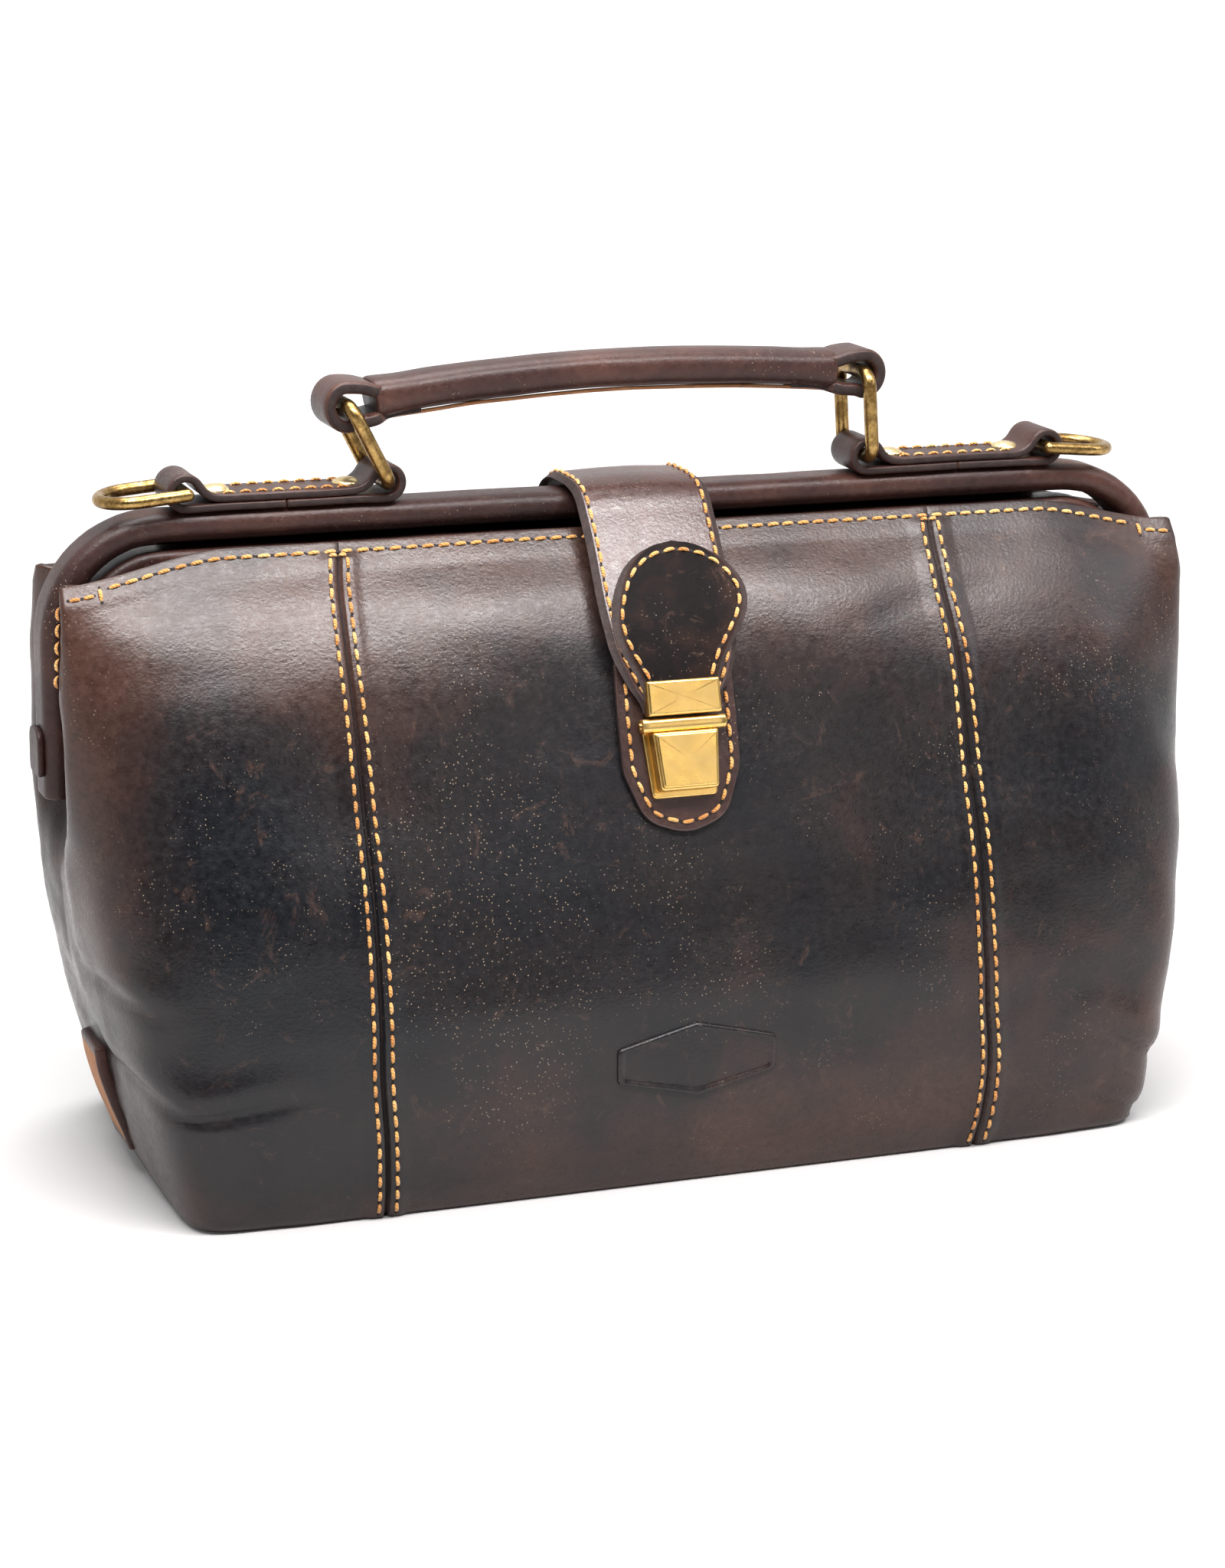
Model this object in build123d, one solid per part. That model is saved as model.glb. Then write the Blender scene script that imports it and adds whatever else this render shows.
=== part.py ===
from build123d import *
import math
import os
from collections import namedtuple

# A frame-mouthed leather handbag with one handle, a closing strap and a lock.
# Millimetres. X is the width (left negative, seen from the front), Y the depth
# (front negative), Z up. The origin is the middle of the footprint, on the ground.

os.makedirs("parts", exist_ok=True)

# ---------------------------------------------------------------- body sizes
BASE_HALF_W = 157.0
BASE_HALF_D = 68.0
EAR_HALF_W = 187.0     # half width of the upper leather
UPPER_BEND_X = 150.0
SEAM_X = 100.0         # seam between centre panel and side panel
LEATHER = 2.4
SHELL_TOP = 120.0
CENTRE_TOP = 161.0     # top of the front and back centre panels
BAND_BOTTOM = 184.0
HEM_Z = 202.0

# lower body: z, half width, half depth, corner radius
LOWER = [
    (2.8, BASE_HALF_W, BASE_HALF_D, 13.0), (12.0, 162.0, 72.5, 18.0),
    (35.0, 170.0, 75.5, 26.0), (60.0, 177.0, 75.5, 35.0),
    (95.0, 182.5, 69.0, 38.0), (SHELL_TOP, 183.0, 61.0, 36.0),
]
# lining before its inset: z, half width, half depth, corner radius
LINING = [
    (6.4, 158.6, 69.6, 15.5), (12.0, 161.4, 71.9, 18.0),
    (35.0, 169.4, 74.9, 26.0), (60.0, 176.4, 74.9, 35.0),
    (95.0, 181.9, 68.4, 38.0), (118.0, 182.4, 61.0, 36.0),
]
# upper leather: z, half depth at the centre, at UPPER_BEND_X, at the ear
UPPER = [
    (120.6, 60.8, 58.0, 33.0), (130.0, 57.3, 54.0, 31.0),
    (150.0, 51.0, 47.5, 29.0), (CENTRE_TOP, 46.0, 43.5, 28.0),
    (BAND_BOTTOM, 31.5, 30.0, 25.5), (195.0, 22.0, 22.0, 22.0),
    (HEM_Z, 16.0, 16.0, 15.6),
]

# ---------------------------------------------------------------- frame sizes
Bar = namedtuple("Bar", "half_w top thick depth radius corner steel_thick steel_depth")
OUTER_BAR = Bar(half_w=190.5, top=212.0, thick=9.0, depth=17.0, radius=38.0,
                corner=3.9, steel_thick=4.0, steel_depth=11.0)
INNER_BAR = Bar(half_w=179.5, top=200.5, thick=6.0, depth=13.0, radius=27.5,
                corner=2.4, steel_thick=2.4, steel_depth=9.0)
LEG_END = 126.0
STEEL_END_GAP = 4.0    # steel stops this far above the end of its wrap
STEEL_CLEARANCE = 0.2  # cavity size over steel size
HINGE_Z = 140.0
PIN_R = 2.5
PIN_HOLE_R = 2.6
WRAP_PIN_HOLE_R = PIN_HOLE_R + 0.3

# ---------------------------------------------------------------- handle sizes
TAB_W = 18.0
TAB_T = 2.5
TAB_LAYER_GAP = 0.15
TAB_IN_X = 81.0
TAB_OUT_X = 145.0
TAB_Z = OUTER_BAR.top + 0.3
TAB_TOP = TAB_Z + 2 * TAB_T + TAB_LAYER_GAP
LOOP_R = 6.0
LOOP_IN_R = 3.3
LOOP_Z = TAB_Z + LOOP_R
RIVET_XS = (-134.0, -92.0, 92.0, 134.0)

RING_WIRE = 4.4
RING_HEIGHT = 27.5     # between wire centres
RING_WIDTH = 24.0      # between wire centres
RING_BEND_R = 4.6
LEAN_LEFT = 27.0       # degrees, both rings lean towards -X
LEAN_RIGHT = 4.0
D_WIRE = 4.0
D_HALF_W = 11.0
D_STRAIGHT = 14.0
D_TILT = 5.0

HANDLE_RISE = 5.0
CORE_HALF_W = 9.0
CORE_HALF_T = 1.6
NECK_LENGTH = 12.0
WRAP_INSET = 13.0      # from a handle end to the tubular wrap
WRAP_SPANS = 14

# ---------------------------------------------------------------- strap and lock sizes
STRAP_W = 44.0
STRAP_T = 2.4
TIP_W = 25.0
LOCK_TILT = 17.5
LOCK_Y = -53.8
LOCK_Z = 141.0
LOCK_COS = math.cos(math.radians(LOCK_TILT))
LOCK_SIN = math.sin(math.radians(LOCK_TILT))
LOCK_PLANE = Plane(origin=(0, LOCK_Y, LOCK_Z), x_dir=(1, 0, 0),
                   z_dir=(0, -LOCK_COS, LOCK_SIN))


# ---------------------------------------------------------------- helpers
def save(shape, name):
    shape.label = name
    export_step(shape, f"parts/{name}.step")


def save_left_right(left, name):
    save(left, f"{name}_left")
    save(mirror_x(left), f"{name}_right")


def save_front_back(front, name):
    save(front, f"front_{name}")
    save(mirror_y(front), f"back_{name}")


def mirror_x(shape):
    return mirror(shape, about=Plane.YZ)


def mirror_y(shape):
    return mirror(shape, about=Plane.XZ)


def prism_x(outline, x0, x1):
    """Solid with a (y, z) outline between two X stations."""
    face = make_face(Plane.YZ.offset(x0) * Polyline(*outline, close=True))
    return extrude(face, amount=x1 - x0, dir=(1, 0, 0))


def prism_y(outline, y0, y1):
    """Solid with an (x, z) outline between two Y stations."""
    face = make_face(Polyline(*[(x, y0, z) for x, z in outline], close=True))
    return extrude(face, amount=y1 - y0, dir=(0, 1, 0))


def box_between(x0, x1, y0, y1, z0, z1):
    centre = Pos((x0 + x1) / 2, (y0 + y1) / 2, (z0 + z1) / 2)
    return centre * Box(x1 - x0, y1 - y0, z1 - z0)


def rod(start, end, radius):
    start = Vector(*start)
    along = Vector(*end) - start
    plane = Plane(origin=start, z_dir=along.normalized())
    return plane * Cylinder(radius, along.length,
                            align=(Align.CENTER, Align.CENTER, Align.MIN))


def rod_y(x, z, half_length, radius):
    return rod((x, -half_length, z), (x, half_length, z), radius)


def offset_line(points, distance):
    """Open polyline offset to its left, with mitred corners."""
    result = []
    for i, (x, y) in enumerate(points):
        normals = []
        for start, end in zip(points[max(i - 1, 0):i + 1], points[max(i - 1, 0) + 1:i + 2]):
            dx, dy = end[0] - start[0], end[1] - start[1]
            length = math.hypot(dx, dy)
            normals.append((-dy / length, dx / length))
        nx = sum(normal[0] for normal in normals)
        ny = sum(normal[1] for normal in normals)
        length = math.hypot(nx, ny)
        nx, ny = nx / length, ny / length
        reach = distance / max(0.3, nx * normals[0][0] + ny * normals[0][1])
        result.append((x + nx * reach, y + ny * reach))
    return result


def band(line, thickness, half_w):
    """Sheet on the left side of an open (y, z) line."""
    outline = list(line) + list(reversed(offset_line(line, thickness)))
    return prism_x(outline, -half_w, half_w)


# ---------------------------------------------------------------- body
def body_loft(inset, levels):
    sections = []
    for z, half_w, half_d, radius in levels:
        outline = RectangleRounded(2 * (half_w - inset), 2 * (half_d - inset),
                                   max(4.0, radius - inset))
        sections.append(Plane.XY.offset(z) * outline)
    return loft(sections, ruled=True)


def lower_shell():
    """Lower body leather, open at the top and bottom."""
    inner = [(2.0,) + LOWER[0][1:]] + LOWER[1:-1] + [(121.0,) + LOWER[-1][1:]]
    return body_loft(0.0, LOWER) - body_loft(LEATHER, inner)


def lining():
    """Thin lining with a closed bottom and an open top."""
    inner = [(7.4, 158.9, 69.9, 16.0)] + LINING[1:-1] + [(119.0,) + LINING[-1][1:]]
    return body_loft(LEATHER + 0.6, LINING) - body_loft(LEATHER + 1.5, inner)


def upper_sheet():
    """Front leather above the lower body."""
    sections = []
    for z, centre, bend, ear in UPPER:
        outer = [(-EAR_HALF_W, -ear), (-UPPER_BEND_X, -bend), (-SEAM_X, -centre),
                 (SEAM_X, -centre), (UPPER_BEND_X, -bend), (EAR_HALF_W, -ear)]
        inner = [(x, y + LEATHER) for x, y in reversed(outer)]
        sections.append(make_face(Polyline(*[(x, y, z) for x, y in outer + inner], close=True)))
    return loft(sections, ruled=True)


def front_panel(shell, upper):
    """Centre panel: lower part, upper part and a strip that joins them."""
    low = shell & box_between(-SEAM_X, SEAM_X, -90, 0, 0, 130)
    high = upper & box_between(-SEAM_X, SEAM_X, -90, 0, SHELL_TOP - 1, CENTRE_TOP)
    bridge = box_between(-SEAM_X, SEAM_X, -60.8, -58.8, 119.0, 121.4)
    return low + high + bridge


def hem_band(upper):
    """Top band of the front leather, with its outer corners sloped off."""
    hem = upper & box_between(-200, 200, -90, 0, BAND_BOTTOM, HEM_Z + 1)
    ear_cut = prism_y([(-190, 194.0), (-148, 202.2), (-148, 204), (-190, 204)], -40, 0)
    return hem - ear_cut - mirror_x(ear_cut)


def fold_leather(upper):
    """Front leather between shell and hem, cut out around the centre panel."""
    fold = upper & box_between(-200, 200, -90, 0, SHELL_TOP, BAND_BOTTOM - 0.5)
    return fold - box_between(-SEAM_X - 0.4, SEAM_X + 0.4, -90, 0, 100, CENTRE_TOP + 0.5)


def gusset_fold():
    """Upright leather sheet between the frame legs."""
    outer_x = -169.5
    return box_between(outer_x, outer_x + LEATHER, -13, 13, 123.0, BAND_BOTTOM)


def gusset_tab():
    """Tab low on the left end."""
    outline = [(-164.8, 14.0), (-172.6, 38.0), (-173.9, 42.0),
               (-177.3, 42.0), (-176.0, 38.0), (-168.2, 14.0)]
    return prism_y(outline, -11, 11)


body_shell = lower_shell()
upper_leather = upper_sheet()
save_front_back(front_panel(body_shell, upper_leather), "panel")
save_left_right(body_shell & box_between(-200, -SEAM_X - 0.3, -90, 90, 0, 130), "side_panel")
base_outline = RectangleRounded(2 * (BASE_HALF_W - 1), 2 * (BASE_HALF_D - 1), 12)
save(extrude(base_outline, amount=2.4), "base_panel")
board_outline = RectangleRounded(2 * (BASE_HALF_W - 7), 2 * (BASE_HALF_D - 7), 8)
save(Pos(0, 0, 2.9) * extrude(board_outline, amount=3.0), "base_board")
save(lining(), "lining")
save_front_back(hem_band(upper_leather), "hem_band")
save_front_back(fold_leather(upper_leather), "fold_leather")
save_left_right(gusset_fold(), "gusset_fold")
save_left_right(gusset_tab(), "gusset_tab")


# ---------------------------------------------------------------- frames
def u_bar(half_w, thick, depth, top, radius, end, corner):
    """Bent bar: two legs, two quarter bends and the top, one solid."""
    x = half_w - thick / 2
    bend_r = radius - thick / 2
    z = top - thick / 2
    section = RectangleRounded(thick, depth, corner) if corner > 0 else Rectangle(thick, depth)
    leg = Pos(-x, 0, end) * extrude(section, amount=z - bend_r - end)
    bend_plane = Plane(origin=(-x, 0, z - bend_r), x_dir=(1, 0, 0), z_dir=(0, 0, 1))
    bend_axis = Axis((-x + bend_r, 0, z - bend_r), (0, 1, 0))
    bend = revolve(bend_plane * section, axis=bend_axis, revolution_arc=90)
    top_plane = Plane(origin=(-x + bend_r, 0, z), x_dir=(0, 0, -1), z_dir=(1, 0, 0))
    top_bar = extrude(top_plane * section, amount=2 * (x - bend_r), dir=(1, 0, 0))
    half = leg + bend
    return half + top_bar + mirror_x(half)


def steel_bar(bar, growth=0.0):
    """Square-edged steel centred in a wrapped bar, enlarged by growth."""
    thick = bar.steel_thick + growth
    inset = (bar.thick - thick) / 2
    return u_bar(bar.half_w - inset, thick, bar.steel_depth + growth, bar.top - inset,
                 bar.radius - inset, LEG_END + STEEL_END_GAP - growth, 0)


def wrap_bar(bar):
    """Rounded wrap with the cavity for its steel."""
    solid = u_bar(bar.half_w, bar.thick, bar.depth, bar.top, bar.radius, LEG_END, bar.corner)
    return solid - steel_bar(bar, STEEL_CLEARANCE)


def pin_hole(radius):
    return rod((-200, 0, HINGE_Z), (200, 0, HINGE_Z), radius)


def drill_rivets(shape):
    for x in RIVET_XS:
        shape = shape - rod((x, 0, 200), (x, 0, 225), 1.6)
    return shape


def flange_front():
    """L-shaped flange between the inner bar and the front hem."""
    return (box_between(-150, 150, -12.9, -5.9, 196.4, 198.2)
            + box_between(-150, 150, -12.9, -11.3, 190.0, 198.2))


def flange_back():
    """L-shaped flange between the outer bar and the back hem."""
    return (box_between(-145, 145, 7.9, 12.9, 204.6, 206.4)
            + box_between(-145, 145, 11.3, 12.9, 190.0, 206.4))


def hinge_pin():
    """Left pin with a round head at its inner end."""
    inner_x = -171.5
    shank = rod((-190.3, 0, HINGE_Z), (inner_x, 0, HINGE_Z), PIN_R)
    return shank + rod((inner_x - 1.5, 0, HINGE_Z), (inner_x, 0, HINGE_Z), 4.0)


save(drill_rivets(steel_bar(OUTER_BAR) - pin_hole(PIN_HOLE_R)), "frame_steel_back")
outer_wrap = drill_rivets(wrap_bar(OUTER_BAR) - pin_hole(WRAP_PIN_HOLE_R))
save(outer_wrap + flange_back(), "frame_wrap_back")
save(steel_bar(INNER_BAR) - pin_hole(PIN_HOLE_R), "frame_steel_front")
inner_wrap = wrap_bar(INNER_BAR) - pin_hole(WRAP_PIN_HOLE_R)
save(inner_wrap + flange_front(), "frame_wrap_front")
save_left_right(hinge_pin(), "hinge_pin")
save_left_right(Pos(-191.6, 0, HINGE_Z) * Box(1.8, 13.0, 14.0), "hinge_cover")


# ---------------------------------------------------------------- handle tabs
def handle_tab():
    """Left tab: two layers, a loop at each end, the lower layer split midway."""
    half_w = TAB_W / 2
    upper_z = TAB_Z + TAB_T + TAB_LAYER_GAP
    tab = box_between(-TAB_OUT_X, -TAB_IN_X, -half_w, half_w, TAB_Z, TAB_Z + TAB_T)
    tab = tab + box_between(-TAB_OUT_X + 3, -TAB_IN_X - 3, -half_w, half_w, upper_z, TAB_TOP)
    tab = tab + rod_y(-TAB_IN_X, LOOP_Z, half_w, LOOP_R) + rod_y(-TAB_OUT_X, LOOP_Z, half_w, LOOP_R)
    for x in (-TAB_IN_X, -TAB_OUT_X):
        tab = tab - rod_y(x, LOOP_Z, 20, LOOP_IN_R)
    middle = -(TAB_IN_X + TAB_OUT_X) / 2
    tab = tab - box_between(middle - 0.25, middle + 0.25, -20, 20,
                            TAB_Z - 1, TAB_Z + TAB_T + 0.1)
    return drill_rivets(tab)


def tab_rivet(x):
    """Flat head with a conical top and a shank down into the bar."""
    head_r, head_t = 4.1, 0.8
    head_z = TAB_TOP + 0.1
    on_base = (Align.CENTER, Align.CENTER, Align.MIN)
    head = Pos(x, 0, head_z) * Cylinder(head_r, head_t, align=on_base)
    dome = Pos(x, 0, head_z + head_t) * Cone(head_r, 2.4, 0.9, align=on_base)
    return head + dome + rod((x, 0, 206.0), (x, 0, TAB_TOP + 0.3), 1.5)


save_left_right(handle_tab(), "handle_tab")
save(Compound([tab_rivet(x) for x in RIVET_XS]), "tab_rivets")


# ---------------------------------------------------------------- rings
def handle_ring():
    """Closed wire ring in the Y-Z plane, lower bar on z=0, centred in y."""
    half_w = RING_WIDTH / 2
    wire_r = RING_WIRE / 2
    bend_y, bend_z = half_w - RING_BEND_R, RING_HEIGHT - RING_BEND_R
    ring = rod((0, -bend_y, 0), (0, bend_y, 0), wire_r)
    ring += rod((0, -bend_y, RING_HEIGHT), (0, bend_y, RING_HEIGHT), wire_r)
    for y in (-half_w, half_w):
        ring += rod((0, y, RING_BEND_R), (0, y, bend_z), wire_r)
    for z, z_sign in ((RING_BEND_R, -1), (bend_z, 1)):
        for y_sign in (-1, 1):
            section = Plane(origin=(0, y_sign * half_w, z), x_dir=(1, 0, 0),
                            z_dir=(0, 0, 1)) * Circle(wire_r)
            ring += revolve(section, axis=Axis((0, y_sign * bend_y, z), (1, 0, 0)),
                            revolution_arc=90 * y_sign * z_sign)
    return ring


def d_ring():
    """D ring in the X-Y plane: bar on x=0, legs towards -X, half-circle at their ends."""
    wire_r = D_WIRE / 2
    ring = rod((0, -D_HALF_W, 0), (0, D_HALF_W, 0), wire_r)
    for y in (-D_HALF_W, D_HALF_W):
        ring += Pos(0, y, 0) * Sphere(wire_r)
        ring += rod((0, y, 0), (-D_STRAIGHT, y, 0), wire_r)
    section = Plane(origin=(-D_STRAIGHT, -D_HALF_W, 0), x_dir=(0, 1, 0),
                    z_dir=(1, 0, 0)) * Circle(wire_r)
    bow_axis = Axis((-D_STRAIGHT, 0, 0), (0, 0, 1))
    return ring + revolve(section, axis=bow_axis, revolution_arc=-180)


ring_shape = handle_ring()
save(Pos(-TAB_IN_X, 0, LOOP_Z) * (Rot(0, -LEAN_LEFT, 0) * ring_shape), "handle_ring_left")
save(Pos(TAB_IN_X, 0, LOOP_Z) * (Rot(0, -LEAN_RIGHT, 0) * ring_shape), "handle_ring_right")
save_left_right(Pos(-TAB_OUT_X, 0, LOOP_Z) * (Rot(0, -D_TILT, 0) * d_ring()), "d_ring")


# ---------------------------------------------------------------- handle
def ring_tip(x, lean):
    """Centre of the upper bar of a leaning handle ring."""
    angle = math.radians(lean)
    return (x - RING_HEIGHT * math.sin(angle), 0, LOOP_Z + RING_HEIGHT * math.cos(angle))


# The handle is built along X from its left end, then tilted to meet both rings.
HANDLE_LEFT = ring_tip(-TAB_IN_X, LEAN_LEFT)
HANDLE_RIGHT = ring_tip(TAB_IN_X, LEAN_RIGHT)
HANDLE_LEN = math.dist(HANDLE_LEFT, HANDLE_RIGHT)
HANDLE_ANGLE = math.degrees(math.atan2(HANDLE_RIGHT[2] - HANDLE_LEFT[2],
                                       HANDLE_RIGHT[0] - HANDLE_LEFT[0]))
HANDLE_MID = HANDLE_LEN / 2
ARCH_HALF = HANDLE_MID - 6   # the arch is at zero height this far from the middle
WRAP_START = WRAP_INSET
WRAP_END = HANDLE_LEN - WRAP_INSET


def place_handle(shape):
    return Pos(*HANDLE_LEFT) * (Rot(0, -HANDLE_ANGLE, 0) * shape)


def arch(x):
    return HANDLE_RISE * (1 - ((x - HANDLE_MID) / ARCH_HALF) ** 2)


def arched_strip(margin, spans, half_t, half_w):
    """Strip that follows the arch, starting a margin in from each handle end."""
    xs = [margin + i * (HANDLE_LEN - 2 * margin) / spans for i in range(spans + 1)]
    top = [(x, arch(x) + half_t) for x in xs]
    bottom = [(x, arch(x) - half_t) for x in reversed(xs)]
    return prism_y(top + bottom, -half_w, half_w)


def handle_core():
    """Arched strip with a loop and a neck at each end, narrowed inside the wrap."""
    ends = (0.0, HANDLE_LEN)
    core = arched_strip(10, 12, CORE_HALF_T, CORE_HALF_W)
    for x in ends:
        core = core + rod_y(x, 0, CORE_HALF_W, LOOP_R + 0.4)
    neck_z = arch(NECK_LENGTH)
    # distance from the handle end, z
    neck = [(0, 6.2), (0, -1), (4.5, -5.0), (NECK_LENGTH, neck_z - CORE_HALF_T),
            (NECK_LENGTH, neck_z + CORE_HALF_T), (4.5, 5.2)]
    for end in ends:
        core = core + prism_y([(abs(end - x), z) for x, z in neck], -CORE_HALF_W, CORE_HALF_W)
    for x in ends:
        core = core - rod_y(x, 0, 20, LOOP_IN_R)
    narrow_start, narrow_end = WRAP_START + 0.5, WRAP_END - 0.5
    narrowing = (box_between(narrow_start, narrow_end, -12, -5.6, -20, 30)
                 + box_between(narrow_start, narrow_end, 5.6, 12, -20, 30))
    return core - narrowing


def handle_wrap():
    """Rounded tube along the arch, with a slot for the core."""
    half_t, half_w, corner = 6.2, 8.4, 5.2
    start, end = WRAP_START + 0.8, WRAP_END - 0.8
    sections = []
    for i in range(WRAP_SPANS + 1):
        x = start + i * (end - start) / WRAP_SPANS
        slope = -2 * HANDLE_RISE * (x - HANDLE_MID) / ARCH_HALF ** 2
        plane = Plane(origin=(x, 0, arch(x)), x_dir=(0, 1, 0), z_dir=(1, 0, slope))
        sections.append(plane * RectangleRounded(2 * half_w, 2 * half_t, corner))
    return loft(sections) - arched_strip(5, 16, 2.1, 6.0)


save(place_handle(handle_core()), "handle_core")
save(place_handle(handle_wrap()), "handle_wrap")


# ---------------------------------------------------------------- strap
def lock_to_yz(up, out):
    """Lock-plane distances (up the plane, outward from it) to (y, z)."""
    return (LOCK_Y + up * LOCK_SIN - out * LOCK_COS, LOCK_Z + up * LOCK_COS + out * LOCK_SIN)


# Underside of the strap as (y, z), from the lock up over the bar and down the back.
# The lines run upwards at the front, so their left side is the outside.
TIP_LINE = [lock_to_yz(8.0, 3.3), lock_to_yz(18.0, 3.7), (-43.9, 174.5)]
BEND_LINE = [(-43.5, 175.3), (-36.6, 184.0), (-27.0, 196.0),
             (-20.5, 204.5), (-15.6, 210.6), (-14.2, 211.9)]
BACK_LINE = [(-13.6, 212.4), (13.6, 212.4), (19.0, 206.8), (24.6, 197.5), (31.0, 189.0)]


def taper(shape, z_low, w_low, z_high, w_high):
    """Trim to a width that grows with height up to z_high."""
    margin = 20
    slope = (w_high - w_low) / (z_high - z_low) / 2
    low = w_low / 2 - margin * slope
    high = w_high / 2
    z_bottom, z_top = z_low - margin, z_high + 60
    outline = [(-low, z_bottom), (low, z_bottom), (high, z_high),
               (high, z_top), (-high, z_top), (-high, z_high)]
    return shape & prism_y(outline, -100, 100)


def strap_overlay():
    """Thin second layer outside the front of the strap."""
    under = TIP_LINE[:2] + [(-43.8, 174.6)] + BEND_LINE[1:3]
    layer = band(offset_line(under, STRAP_T + 0.25), 1.6, 25)
    layer = taper(layer, 149, 24, 182, 43)
    return layer & box_between(-30, 30, -100, 0, 162.2, 197)


def strap_rivet(x):
    """Disc on the outside of the strap's rear end."""
    normal = Vector(0, 8.5, 6.4).normalized()
    seat = Vector(x, 27.8, 193.25) + normal * (STRAP_T + 0.15)
    return Plane(origin=seat, z_dir=normal) * Cylinder(
        4.0, 1.4, align=(Align.CENTER, Align.CENTER, Align.MIN))


for part_name, strap_line in (("strap_tip", TIP_LINE), ("strap_bend", BEND_LINE)):
    save(taper(band(strap_line, STRAP_T, 25), 149, TIP_W, 185, STRAP_W), part_name)
save(band(BACK_LINE, STRAP_T, STRAP_W / 2), "strap_back")
save(strap_overlay(), "strap_overlay")
save(Compound([strap_rivet(x) for x in (-12.0, 12.0)]), "strap_rivets")


# ---------------------------------------------------------------- lock
def plate(right_half, out0, out1):
    """Symmetric plate between two distances out from the lock plane."""
    left_half = [(-x, up) for x, up in reversed(right_half) if x > 0]
    face = make_face(Polyline(*right_half, *left_half, close=True))
    return Pos(0, 0, out0) * extrude(face, amount=out1 - out0)


# right half outlines as (x, up the lock plane), then inner and outer distance
LOCK_PLATES = {
    "lock_patch": ([(19.6, 8), (19.8, -8), (18.0, -17), (13.0, -24.5), (6.0, -28.2), (0, -29)],
                   0.95, 2.75),
    "lock_base_plate": ([(12.6, 3.2), (10.6, -18.2)], 2.9, 4.0),
    "lock_crossbar": ([(13.0, 3.2), (13.0, 7.2)], 3.3, 8.4),
    "lock_button": ([(7.9, 2.2), (6.7, -10.6)], 5.1, 10.0),
    "lock_tongue_plate": ([(11.8, 8.2), (11.8, 18.0)], 6.3, 9.2),
}


def lock_housing():
    """Tapered block with a pocket open at the front and top."""
    body = plate([(11.0, 2.6), (9.0, -16.8)], 4.1, 8.8)
    return body - plate([(8.4, 4.0), (6.9, -14.4)], 5.0, 9.5)


def lock_spring():
    """Coil below the button, along the lock plane."""
    coil_r, wire, length = 1.5, 0.5, 3.1
    path = Helix(pitch=1.0, height=length - wire, radius=coil_r)
    section = Plane(origin=path @ 0, z_dir=path % 0) * Circle(wire / 2)
    coil = sweep(section, path=path)
    return Pos(0, -11.0 - wire / 2, 7.2) * (Rot(90, 0, 0) * coil)


for part_name, plate_sizes in LOCK_PLATES.items():
    save(LOCK_PLANE * plate(*plate_sizes), part_name)
save(LOCK_PLANE * lock_housing(), "lock_housing")
save(LOCK_PLANE * lock_spring(), "lock_spring")
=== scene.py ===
"""Leather bag on a pair of hinged U-shaped frame bars, with a strap lock and a handle.

The width runs along x, the front faces -y and the foot stands on z = 0. Shapes are worked out
in millimetres and turned into metres when a mesh is made; materials, lights and camera are in
metres.
"""
import bpy
import bmesh
import itertools
import math
import numpy as np
from mathutils import Vector, Matrix


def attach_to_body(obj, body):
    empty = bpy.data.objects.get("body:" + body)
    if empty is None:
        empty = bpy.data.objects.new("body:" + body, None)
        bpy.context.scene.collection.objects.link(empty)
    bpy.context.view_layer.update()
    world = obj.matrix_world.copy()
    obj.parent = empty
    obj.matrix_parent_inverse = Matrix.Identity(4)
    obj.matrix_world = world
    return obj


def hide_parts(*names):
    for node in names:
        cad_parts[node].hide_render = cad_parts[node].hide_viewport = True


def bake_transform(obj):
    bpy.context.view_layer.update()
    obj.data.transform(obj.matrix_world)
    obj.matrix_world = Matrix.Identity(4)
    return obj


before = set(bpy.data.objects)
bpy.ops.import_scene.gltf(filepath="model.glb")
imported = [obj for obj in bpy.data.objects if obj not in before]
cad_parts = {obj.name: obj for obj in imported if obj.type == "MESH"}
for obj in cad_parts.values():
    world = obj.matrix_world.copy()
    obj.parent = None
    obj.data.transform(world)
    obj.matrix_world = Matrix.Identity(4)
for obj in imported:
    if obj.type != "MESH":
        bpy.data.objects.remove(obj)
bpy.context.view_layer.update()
MM = 0.001
FRONT, BACK = -1, 1
ALONG_Y = (0, 1, 0)


# ------------------------------------------------------------- curves and noise
def smooth(t):
    """Smoothstep, clamped to 0..1."""
    t = np.clip(t, 0.0, 1.0)
    return t * t * (3 - 2 * t)


def unit(a):
    a = np.asarray(a, float)
    return a / np.maximum(np.linalg.norm(a, axis=-1, keepdims=True), 1e-9)


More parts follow.
